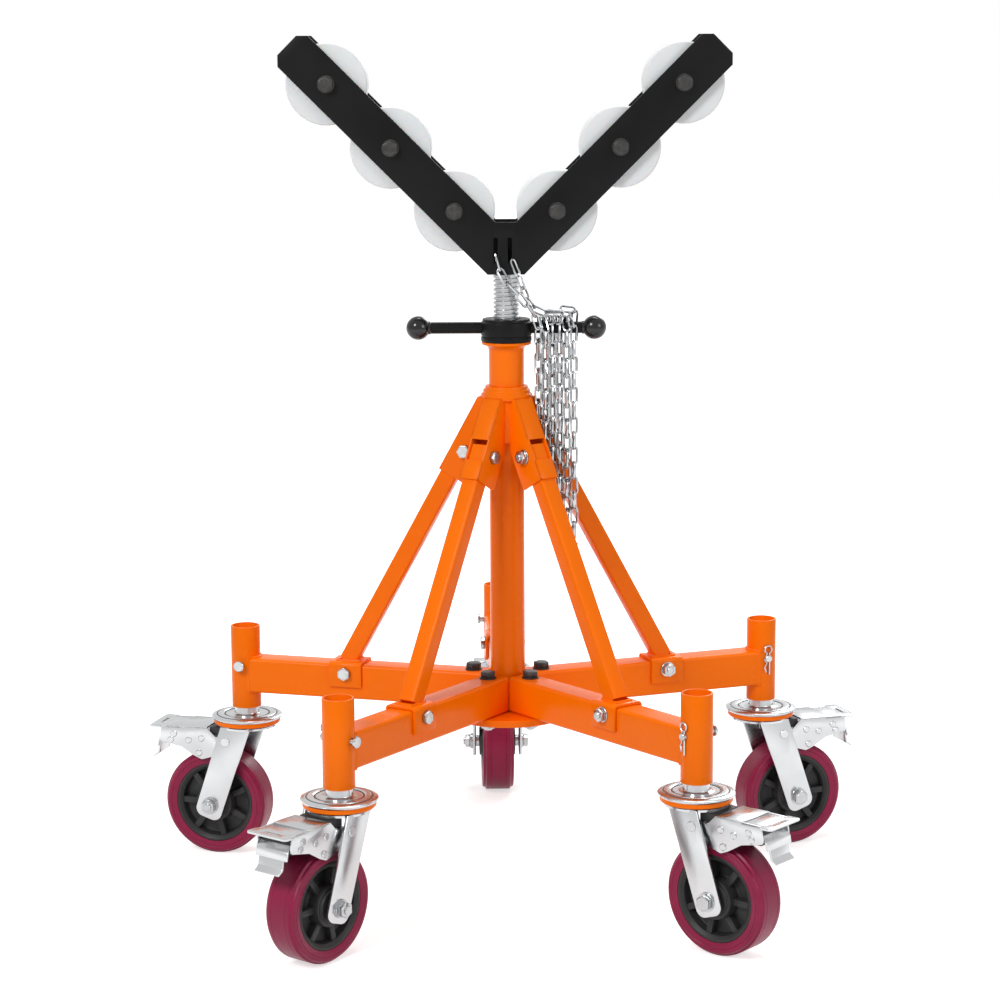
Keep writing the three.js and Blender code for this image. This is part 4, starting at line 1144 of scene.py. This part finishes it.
# A pedal's pressings, each corner (behind the pedal's end, under its top sheet, radius)
TONGUE = [
    (0.036, 0.007, 0), (0.024, 0.010, 0.004), (0.011, 0.020, 0.004), (0.009, 0.031, 0), (0.0115, 0.0315, 0),
    (0.0138, 0.0215, 0.004), (0.025, 0.0125, 0.004), (0.036, 0.0105, 0),
]
LIP = [
    (0.0112, 0.019, 0), (0.007, 0.042, 0.003), (0, 0.0475, 0), (0.001, 0.0495, 0), (0.0098, 0.0442, 0.003),
    (0.0138, 0.0205, 0),
]
TONGUE_INSET = 0.001
LIP_INSET = 0.007
# A pedal's top plate: where it starts, its lap at the crease and the run from its neck to its wide end
TOP_FROM = 0.006
TOP_LAP = 0.002
NECK_RUN = 0.004
# A dark block of painted shade under it, back from the pedal's end
PEDAL_SHADE_FROM = 0.044
PEDAL_SHADE_TO = 0.02
PEDAL_SHADE_DROP = 0.026
PEDAL_SHADE_INSET = 0.002
# The slot in a pedal's end: (behind the end, across, radius)
PEDAL_SLOT = [(0.014, -0.013, 0.0018), (0.010, -0.013, 0.0018), (0.010, 0.013, 0.0018), (0.014, 0.013, 0.0018)]
# Where a pedal's cheeks rise: (before its start, over its pin). Their end, back from the pedal's, and that end's lower
# corner: (past the end, under the top sheet)
CHEEK_RISE = (0.008, 0.004)
CHEEK_BACK = 0.018
CHEEK_TIP = (0.004, 0.022)
# The cheeks' lower edge: (from the swivel's axis, over the floor, radius), and the rivets in them
CHEEK_EDGE = [(0.092, 0.1585, 0.008), (0.072, 0.1465, 0.006), (0.060, 0.1415, 0.006), (0.044, 0.1465, 0.006)]
RIVETS = [(0.060, 0.173), (0.080, 0.169), (0.103, 0.177), (0.108, 0.168), (0.064, 0.151)]
RIVET_RADIUS = 0.0048
RIVET_HEIGHT = 0.002
# The brake shoe under a pedal, from corner to corner: along the trail and over the floor
SHOE_FROM = (0.044, 0.1585)
SHOE_TO = (0.060, 0.1635)


def pedal_end_plate(s):
    """The wide end of a pedal's top plate with its slot, drawn in X and Y."""
    half = s.pedal_width / 2
    wing = s.pedal_wing / 2
    neck = s.pedal_to - s.pedal_neck
    side = [
        (s.pedal_crease, -half, 0), (neck, -half, 0.002), (neck + NECK_RUN, -wing, 0.003), (s.pedal_to, -wing, 0.005),
    ]
    outline = rounded(side + [(x, -y, radius) for x, y, radius in reversed(side)], steps=3)
    hole = rounded([(s.pedal_to - back, y, radius) for back, y, radius in PEDAL_SLOT], steps=3)
    return pressed(outline, 0, s.pedal_sheet, PEDAL_EASE, holes=[hole])


def pedal_cheek(s):
    """A side plate of a pedal, from its ear on the pin to its end."""
    x, z = s.pedal_pin_reach, s.pedal_pin_height
    ear = s.pedal_pin
    before, over = CHEEK_RISE
    end = s.pedal_to - CHEEK_BACK
    past, down = CHEEK_TIP
    return rounded([
        (x - ear, z - ear, 0.006), (x - ear, z + ear, 0.006), (s.pedal_from - before, z + over, 0.003),
        (s.pedal_from + TOP_FROM, s.pedal_top, 0.003), (end, s.pedal_top - s.pedal_step),
        (end + past, s.pedal_top - s.pedal_sheet - down, 0.004), *CHEEK_EDGE,
    ], steps=3)


class STAND_OT_pedals(bpy.types.Operator):
    """Makes the casters' brake pedals"""

    bl_idname = "stand.pedals"
    bl_label = "Brake pedals"

    def execute(self, context):
        s = context.scene.stand_casters
        half = s.pedal_width / 2
        inside = half - s.pedal_sheet
        top = s.pedal_top
        under = top - s.pedal_sheet
        far = s.pedal_to
        cheek = pedal_cheek(s)
        tongue, lip = (
            rounded([(far - back, under - down, radius) for back, down, radius in corners], steps=3)
            for corners in (TONGUE, LIP)
        )
        for k in LEGS:
            place = caster_place(k)
            pedal = bmesh.new()
            stamp(pedal, pedal_end_plate(s), place @ at(0, 0, under - s.pedal_step) @ UPRIGHT)
            low = (s.pedal_from + TOP_FROM, -half, under)
            stamp(pedal, block(low, (s.pedal_crease + TOP_LAP, half, top), PEDAL_EASE), place)
            # A dark block of painted shade under the pedal's top sheet, between its cheeks
            wide = inside - PEDAL_SHADE_INSET
            low = (far - PEDAL_SHADE_FROM, -wide, under - PEDAL_SHADE_DROP)
            stamp(pedal, block(low, (far - PEDAL_SHADE_TO, wide, under), 0.001), place, 1)
            for way in (1, -1):
                stamp(pedal, pressed(cheek, *sorted((way * inside, way * half)), PEDAL_EASE), place)
                for x, z in RIVETS:
                    rivet = disc(RIVET_RADIUS, -RIVET_HEIGHT, RIVET_HEIGHT, edge=0.0012, steps=20)
                    stamp(pedal, rivet, place @ at(x, way * half, z) @ ALONG_Y)
            for sheet, inset in ((tongue, TONGUE_INSET), (lip, LIP_INSET)):
                stamp(pedal, pressed(sheet, inset - inside, inside - inset, PEDAL_EASE), place)
            (shoe_x, shoe_z), (shoe_end, shoe_top) = SHOE_FROM, SHOE_TO
            stamp(pedal, block((shoe_x, -inside, shoe_z), (shoe_end, inside, shoe_top), 0.001), place)
            finish_piece(pedal, f"pedal_{k}", f"brake_{k}", ["zinc_plate", "hub_plastic"], [f"brake_pedal_{k}"])
        return {"FINISHED"}


# One turn of the thread: (share of its depth, share of its pitch)
THREAD = [(0, 0), (0, 0.26), (1, 0.38), (1, 0.88), (0, 1)]
THREAD_STEPS = 32
THREAD_MERGE = 1e-5
# The thread's end inside the head's web
SCREW_IN_WEB = 0.004


class STAND_OT_jack(bpy.types.Operator):
    """Makes the jack's threaded screw"""

    bl_idname = "stand.jack"
    bl_label = "Jack screw"

    def execute(self, context):
        s = context.scene.stand_jack
        root = s.screw_diameter / 2 - s.thread_depth
        pitch = s.thread_pitch
        turns = math.ceil((HEAD_FOOT - SCREW_FOOT) / pitch) + 2
        shape = bmesh.new()
        flank = [(root + out * s.thread_depth, 0, SCREW_FOOT + (rise - 1) * pitch) for out, rise in THREAD]
        verts = [shape.verts.new(point) for point in flank]
        edges = [shape.edges.new(pair) for pair in zip(verts, verts[1:])]
        bmesh.ops.spin(
            shape, geom=verts + edges, axis=(0, 0, 1), cent=(0, 0, 0), dvec=(0, 0, pitch / THREAD_STEPS),
            angle=TURN * turns, steps=THREAD_STEPS * turns,
        )
        bmesh.ops.remove_doubles(shape, verts=shape.verts, dist=THREAD_MERGE)
        for height, way in ((SCREW_FOOT, -1), (HEAD_FOOT + SCREW_IN_WEB, 1)):
            everything = [*shape.verts, *shape.edges, *shape.faces]
            cut = bmesh.ops.bisect_plane(
                shape, geom=everything, plane_co=(0, 0, height), plane_no=(0, 0, way), clear_outer=True
            )
            rim = [item for item in cut["geom_cut"] if isinstance(item, bmesh.types.BMEdge)]
            bmesh.ops.holes_fill(shape, edges=rim)
        screw = bmesh.new()
        stamp(screw, shape)
        finish_piece(screw, "screw", "head", ["screw_steel"], ["jack_screw"])
        return {"FINISHED"}


# The collar's side, from its foot: (in from its rim, up, radius), and its shoulder: (in, under its top, radius)
COLLAR_SIDE = [
    (0, 0, 0.001), (0, 0.006, 0.0004), (0.0009, 0.0068, 0.0003), (0.0009, 0.0078, 0.0003), (0, 0.0086, 0.0004),
]
COLLAR_SHOULDER = [(0, 0.005, 0.001), (0.002, 0.003, 0.0008), (0.002, 0, 0.001)]
COLLAR_LEAD = 0.003
# A bar's start inside the collar, and a knob's neck and collar on the bar
BAR_SUNK = 0.004
KNOB_NECK = 0.001
KNOB_COLLAR = 0.004
KNOB_STEPS = 18


class STAND_OT_handle(bpy.types.Operator):
    """Makes the handle: nut collar, bars and knobs"""

    bl_idname = "stand.handle"
    bl_label = "Handle"

    def execute(self, context):
        s = context.scene.stand_jack
        rim = s.nut_diameter / 2
        bore = s.screw_diameter / 2 + SEAT
        top = NUT_FOOT + s.nut_height
        collar = rounded([
            (bore, NUT_FOOT), *((rim - inset, NUT_FOOT + up, radius) for inset, up, radius in COLLAR_SIDE),
            *((rim - inset, top - down, radius) for inset, down, radius in COLLAR_SHOULDER),
            (bore + COLLAR_LEAD, top), (bore, top - COLLAR_LEAD),
        ], steps=2)
        nut = bmesh.new()
        stamp(nut, turned(collar, 64))
        height = NUT_FOOT + s.bar_rise
        ball = s.ball_diameter / 2
        knobs = bmesh.new()
        for way in (1, -1):
            place = at(0, 0, height) @ Matrix.Rotation(way * math.pi / 2, 4, "Y")
            stamp(nut, disc(s.bar_diameter / 2, rim - BAR_SUNK, s.ball_reach - ball / 2), place)
            neck = s.bar_diameter / 2 + KNOB_NECK
            sweep = math.pi / 2 + math.acos(neck / ball)
            arc = [(0, s.ball_reach + ball)]
            for step in range(1, KNOB_STEPS + 1):
                turn = math.pi / 2 - sweep * step / KNOB_STEPS
                arc.append((ball * math.cos(turn), s.ball_reach + ball * math.sin(turn)))
            foot = arc[-1][1] - KNOB_COLLAR
            arc += [(neck, foot + KNOB_NECK), (neck - KNOB_NECK, foot), (0, foot)]
            stamp(knobs, turned(arc, 48), place)
        finish_piece(nut, "handle_collar", "handle", ["black_paint"], ["handle_nut"])
        finish_piece(knobs, "handle_knobs", "handle", ["knob_black"], slot="black_paint")
        return {"FINISHED"}


def head_outline(s):
    """The V plate's outline, from its foot up the right arm and down the left."""
    half = s.arm_width / 2
    drop = half * math.sqrt(2)
    vertex = HEAD_FOOT + drop - s.foot / 2
    along = Vector((1, 1)).normalized()
    up = Vector((-1, 1)).normalized()

    def on_arm(far, off):
        return Vector((0, vertex)) + along * far + up * off

    far = s.arm_length
    cut = s.tip_chamfer
    right = [
        Vector((s.foot / 2, HEAD_FOOT)), on_arm(far - cut, -half), on_arm(far, cut - half),
        on_arm(far, half - cut), on_arm(far - cut, half), Vector((s.notch / 2, vertex + drop + s.notch / 2)),
    ]
    left = [Vector((-point.x, point.y)) for point in reversed(right)]
    return right + left


class STAND_OT_head(bpy.types.Operator):
    """Makes the V head's plates, web and roller bolts"""

    bl_idname = "stand.head"
    bl_label = "V head"

    def execute(self, context):
        s = context.scene.stand_head
        foot = HEAD_FOOT + s.slot_rise
        half = s.slot_width / 2
        slots = []
        for way in (-1, 1):
            x = s.slot_offset + way * s.slot_spacing / 2
            slots.append(rounded([
                (x - half, foot, 0.0015), (x + half, foot, 0.0015), (x + half, foot + s.slot_length, 0.0015),
                (x - half, foot + s.slot_length, 0.0015),
            ], steps=3))
        outline = head_outline(s)
        for name, node, low, high, holes in (
            ("front_plate", "head_front_plate", PLATE_FRONT, PLATE_BACK, slots),
            ("rear_plate", "head_rear_plate", -PLATE_BACK, -PLATE_FRONT, ()),
        ):
            plate = bmesh.new()
            stamp(plate, pressed(outline, low, high, HEAD_EASE, holes=holes))
            finish_piece(plate, name, "head", ["black_paint"], [node])
        web = bmesh.new()
        wide = s.web_width / 2
        deep = -PLATE_BACK - SEAT
        stamp(web, block((-wide, -deep, HEAD_FOOT), (wide, deep, SCREW_HEAD), HEAD_EASE))
        finish_piece(web, "head_web", "head", ["black_paint"])
        outside = -PLATE_FRONT
        for i in ROLLERS:
            place = Matrix.Translation(JOINTS[f"roller_spin_{i}"]["pos_m"]) @ ALONG_Y
            bolt = bmesh.new()
            front = place @ FLIP @ at(0, 0, outside)
            add_washer(bolt, front, M12)
            add_head(bolt, front @ at(0, 0, WASHER), M12)
            stamp(bolt, disc(M12["shank"] / 2, -outside, outside), place)
            add_nut(bolt, place @ at(0, 0, outside), M12)
            finish_piece(bolt, f"roller_axle_{i}", "head", ["black_bolt"], [f"roller_bolt_{i}"])
        return {"FINISHED"}


# A roller's end: the fillet round its boss, how hollow its face is, and the boss's step
ROLLER_FILLET = 0.003
ROLLER_HOLLOW = 0.0004
ROLLER_STEP = 0.001


class STAND_OT_rollers(bpy.types.Operator):
    """Makes the head's rollers"""

    bl_idname = "stand.rollers"
    bl_label = "Rollers"

    def execute(self, context):
        s = context.scene.stand_head
        rim = s.roller_diameter / 2
        half = s.roller_width / 2
        boss = s.roller_boss / 2
        bore = M12["shank"] / 2 + SEAT
        end = -PLATE_BACK - SEAT
        profile = rounded([
            (rim, 0), (rim, half, 0.0025), (boss + ROLLER_FILLET, half - ROLLER_HOLLOW, 0.001),
            (boss, half + ROLLER_STEP, 0.0008), (boss, end, 0.0008), (bore, end), (bore, 0),
        ], steps=3)[1:-1]
        for i in ROLLERS:
            roller = bmesh.new()
            place = Matrix.Translation(JOINTS[f"roller_spin_{i}"]["pos_m"]) @ ALONG_Y
            stamp(roller, turned(both_sides(profile), 96), place)
            finish_piece(roller, f"roller_white_{i}", f"roller_{i}", ["roller_nylon"], [f"head_roller_{i}"])
        return {"FINISHED"}


# The chain's leads: places along the bar and over it, and how far they stand before it
LEAD_IN = [
    (-0.0138, 0.101, 0.0395), (-0.007, 0.080, 0.040), (0.0045, 0.062, 0.040), (0.020, 0.044, 0.036),
    (0.033, 0.027, 0.027), (0.040, 0.012, 0.018),
]
LEAD_OUT = [
    (0.0935, 0.017, -0.012), (0.086, 0.024, -0.005), (0.074, 0.0225, 0), (0.060, 0.022, 0), (0.045, 0.023, 0.002),
    (0.034, 0.033, 0.012), (0.025, 0.051, 0.029), (0.019, 0.069, 0.0395), (0.0125, 0.086, 0.0405),
    (0.0052, 0.103, 0.0405),
]
LINK_LEAN = math.radians(22)
LINK_STEPS = 4


def chain_loop(s, i, bar, over):
    """One loop of the hank: down before the bar, round the bottom, up behind and over to the next."""
    x = s.first + s.pitch * i
    middle = -s.forward
    bottom = s.drop - s.drop_step * (s.loops - 1 - i) - s.half_gap
    steps = 12

    def strand(way, share):
        drop = bottom * share
        drawn = min(drop / s.neck, 1)
        drawn = drawn * drawn * (3 - 2 * drawn)
        y = way * over * (1 - drawn) + (middle + way * s.half_gap) * drawn
        return Vector((x, y, bar - drop))

    points = [strand(-1, n / steps) for n in range(steps)]
    for n in range(steps):
        turn = math.pi * n / steps
        points.append(Vector((
            x, middle - s.half_gap * math.cos(turn), bar - bottom - s.half_gap * math.sin(turn)
        )))
    points += [strand(1, 1 - n / steps) for n in range(steps)]
    for n in range(steps if i + 1 < s.loops else 1):
        turn = math.pi * n / steps
        points.append(Vector((x + s.pitch * n / steps, over * math.cos(turn), bar + over * math.sin(turn))))
    return points


def smooth_route(points, steps=8):
    """A curve through points, each bend eased by its neighbours."""
    made = []
    for i in range(len(points) - 1):
        before = points[max(i - 1, 0)]
        after = points[min(i + 2, len(points) - 1)]
        start, end = points[i], points[i + 1]
        for n in range(steps):
            t = n / steps
            made.append(0.5 * (
                2 * start + (end - before) * t + (2 * before - 5 * start + 4 * end - after) * t**2
                + (3 * start - before - 3 * end + after) * t**3
            ))
    return made + [points[-1]]


def even_places(route, pitch):
    """Points and directions at an even pitch along a route."""
    places = []
    travelled = 0.0
    following = pitch / 2
    for start, end in zip(route, route[1:]):
        length = (end - start).length
        while following <= travelled + length:
            share = (following - travelled) / length
            places.append((start.lerp(end, share), (end - start).normalized()))
            following += pitch
        travelled += length
    return places


def link_shape(s):
    """One welded link, along Z and flat in X."""
    bend = (s.link_width - s.wire) / 2
    straight = (s.link_length - s.link_width) / 2
    points = []
    for way in (1, -1):
        for step in range(LINK_STEPS + 1):
            turn = math.pi * step / LINK_STEPS
            points.append(Vector((way * bend * math.cos(turn), 0, way * (straight + bend * math.sin(turn)))))
    return wire(points, s.wire / 2, 6, closed=True)


def add_links(piece, s, route):
    """Links along a route, each a quarter turn from the last."""
    model = bpy.data.meshes.new("link")
    link = link_shape(s)
    link.to_mesh(model)
    link.free()
    pitch = s.link_length - 2 * s.wire
    side = Vector((1, 0, 0))
    for n, (point, along) in enumerate(even_places(route, pitch)):
        side = (side - along * side.dot(along)).normalized()
        turn = Matrix((side, along.cross(side), along)).transposed().to_4x4()
        roll = Matrix.Rotation(LINK_LEAN + math.pi / 2 * (n % 2), 4, "Z")
        shape = bmesh.new()
        shape.from_mesh(model)
        stamp(piece, shape, Matrix.Translation(point) @ turn @ roll)
    bpy.data.meshes.remove(model)


class STAND_OT_chain(bpy.types.Operator):
    """Makes the hold-down chain: a hank over the bar and two leads to the head"""

    bl_idname = "stand.chain"
    bl_label = "Chain"

    def execute(self, context):
        s = context.scene.stand_chain
        jack = context.scene.stand_jack
        bar = NUT_FOOT + jack.bar_rise
        over = jack.bar_diameter / 2 + s.lift + s.route_diameter / 2
        hank = [point for i in range(s.loops) for point in chain_loop(s, i, bar, over)]
        lead_in = [Vector((x, -front, bar + rise)) for x, rise, front in LEAD_IN] + hank[:1]
        lead_out = hank[-1:] + [Vector((x, -front, bar + rise)) for x, rise, front in LEAD_OUT]
        piece = bmesh.new()
        add_links(piece, s, hank)
        finish_piece(piece, "chain_hank", "handle", ["chain_zinc"], ["hold_down_chain"])
        for name, route in (("chain_lead_in", lead_in[::-1]), ("chain_lead_out", lead_out)):
            piece = bmesh.new()
            add_links(piece, s, smooth_route(route))
            lead = finish_piece(piece, name, None, ["chain_zinc"])
            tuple(route[-5])
            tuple(route[-1])
            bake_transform(lead)
        return {"FINISHED"}


# Camera, from the photograph's view: where it stands and how it is turned
CAMERA_AT = Vector((0, -3.6467, 1.1682))
CAMERA_PITCH = 0.1713
CAMERA_YAW = -0.0027
CAMERA_ROLL = -0.0052
CAMERA_LENS = 95.9
CAMERA_SENSOR = 36.0


def photo_camera():
    """A camera at the photograph's viewing angle."""
    flat = math.cos(CAMERA_PITCH)
    forward = Vector((math.sin(CAMERA_YAW) * flat, math.cos(CAMERA_YAW) * flat, -math.sin(CAMERA_PITCH)))
    right = Vector((math.cos(CAMERA_YAW), -math.sin(CAMERA_YAW), 0))
    up = right.cross(forward)
    rolled = right * math.cos(CAMERA_ROLL) + up * math.sin(CAMERA_ROLL)
    risen = up * math.cos(CAMERA_ROLL) - right * math.sin(CAMERA_ROLL)
    data = bpy.data.cameras.new("camera")
    data.lens = CAMERA_LENS
    data.sensor_width = CAMERA_SENSOR
    camera = bpy.data.objects.new("camera", data)
    turn = Matrix((rolled, risen, -forward)).transposed().to_4x4()
    camera.matrix_world = Matrix.Translation(CAMERA_AT) @ turn
    bpy.context.collection.objects.link(camera)
    bpy.context.scene.camera = camera


def seen_directly(tree):
    """One for rays from the camera, a mirror or glass, and nothing for the rest."""
    rays = add_node(tree, "LightPath").outputs
    inputs = {0: rays["Is Glossy Ray"], 1: rays["Is Transmission Ray"]}
    mirrored = add_node(tree, "Math", inputs, operation="MAXIMUM").outputs["Value"]
    return add_node(tree, "Math", {0: rays["Is Camera Ray"], 1: mirrored}, operation="MAXIMUM").outputs["Value"]


# Soft lamps: where each stands, its power and its width
LAMPS = {
    "key": ((-2.6, -3.4, 3.6), 140, 1.6), "fill": ((3.2, -2.6, 2.2), 44, 1.8),
    "top": ((0.3, 0.6, 4.2), 70, 1.8), "back": ((1.5, 3.6, 2.6), 44, 1.6),
}
LAMP_AIM = Vector((0, 0, 0.6))
WORLD_LIGHT = 0.24

# The floor: its half width, its grey, and how its own light, near the stand, rises to white further out
FLOOR_HALF = 15.0
FLOOR_GREY = 0.8
FLOOR_LIFT = 0.62
FLOOR_NEAR = 0.8
FLOOR_FAR = 1.6


def soft_lamps():
    """Square soft boxes that face the stand's middle."""
    for name, (stand, power, width) in LAMPS.items():
        data = bpy.data.lights.new(name, "AREA")
        data.energy = power
        data.size = width
        lamp = bpy.data.objects.new(name, data)
        lamp.location = stand
        lamp.rotation_euler = (LAMP_AIM - Vector(stand)).to_track_quat("-Z", "Y").to_euler()
        bpy.context.collection.objects.link(lamp)


def floor_finish():
    """A pale floor that keeps shadows, and that the camera sees fade to white."""
    material = bpy.data.materials.new("floor")
    material.use_nodes = True
    tree = material.node_tree
    places = add_node(tree, "TexCoord").outputs["Object"]
    away = add_node(tree, "VectorMath", {0: places}, operation="LENGTH").outputs["Value"]
    inputs = {"Value": away, "From Min": FLOOR_NEAR, "From Max": FLOOR_FAR, "To Min": FLOOR_LIFT}
    fade = add_node(tree, "MapRange", inputs).outputs["Result"]
    lift = add_node(tree, "Math", {0: seen_directly(tree), 1: fade}, operation="MULTIPLY").outputs["Value"]
    set_inputs(tree, tree.nodes["Principled BSDF"], {
        "Base Color": (FLOOR_GREY, FLOOR_GREY, FLOOR_GREY, 1), "Roughness": 0.9, "Specular IOR Level": 0,
        "Emission Color": (1, 1, 1, 1), "Emission Strength": lift,
    })
    return material


class STAND_OT_stage(bpy.types.Operator):
    """Makes the camera, the pale floor and the soft light"""

    bl_idname = "stand.stage"
    bl_label = "Stage"

    def execute(self, context):
        photo_camera()
        context.scene.view_settings.view_transform = "Standard"
        shape = bmesh.new()
        bmesh.ops.create_grid(shape, x_segments=1, y_segments=1, size=FLOOR_HALF)
        mesh = bpy.data.meshes.new("floor")
        shape.to_mesh(mesh)
        shape.free()
        mesh.materials.append(floor_finish())
        floor = bpy.data.objects.new("floor", mesh)
        bpy.context.collection.objects.link(floor)
        soft_lamps()
        world = bpy.data.worlds.new("studio")
        context.scene.world = world
        world.use_nodes = True
        sky = world.node_tree
        level = add_node(sky, "MapRange", {"Value": seen_directly(sky), "To Min": WORLD_LIGHT})
        set_inputs(sky, sky.nodes["Background"], {"Color": (1, 1, 1, 1), "Strength": level.outputs["Result"]})
        return {"FINISHED"}


OPERATORS = (
    STAND_OT_stage, STAND_OT_chain, STAND_OT_column, STAND_OT_base, STAND_OT_legs, STAND_OT_struts, STAND_OT_crown,
    STAND_OT_swivels, STAND_OT_forks, STAND_OT_axles, STAND_OT_wheels, STAND_OT_pedals, STAND_OT_jack,
    STAND_OT_handle, STAND_OT_head, STAND_OT_rollers,
)
SETTINGS = {
    "stand_colours": StandColours, "stand_base": BaseSizes, "stand_braces": BraceSizes,
    "stand_casters": CasterSizes, "stand_jack": JackSizes, "stand_head": HeadSizes, "stand_chain": ChainSizes,
}


class STAND_PT_panel(bpy.types.Panel):
    """Lists the stand's pieces and their sizes"""

    bl_label = "Pipe roller stand"
    bl_idname = "STAND_PT_panel"
    bl_space_type = "VIEW_3D"
    bl_region_type = "UI"
    bl_category = "Stand"

    def draw(self, context):
        for operator in OPERATORS:
            self.layout.operator(operator.bl_idname)
        for name, kind in SETTINGS.items():
            column = self.layout.column(align=True)
            for prop in kind.__annotations__:
                column.prop(getattr(context.scene, name), prop)


CLASSES = (*SETTINGS.values(), *OPERATORS, STAND_PT_panel)


def register():
    for kind in CLASSES:
        bpy.utils.register_class(kind)
    for name, kind in SETTINGS.items():
        setattr(bpy.types.Scene, name, PointerProperty(type=kind))


def unregister():
    for name in SETTINGS:
        delattr(bpy.types.Scene, name)
    for kind in reversed(CLASSES):
        bpy.utils.unregister_class(kind)


def main():
    register()
    for operator in OPERATORS:
        family, action = operator.bl_idname.split(".")
        getattr(getattr(bpy.ops, family), action)()


if __name__ == "__main__":
    main()
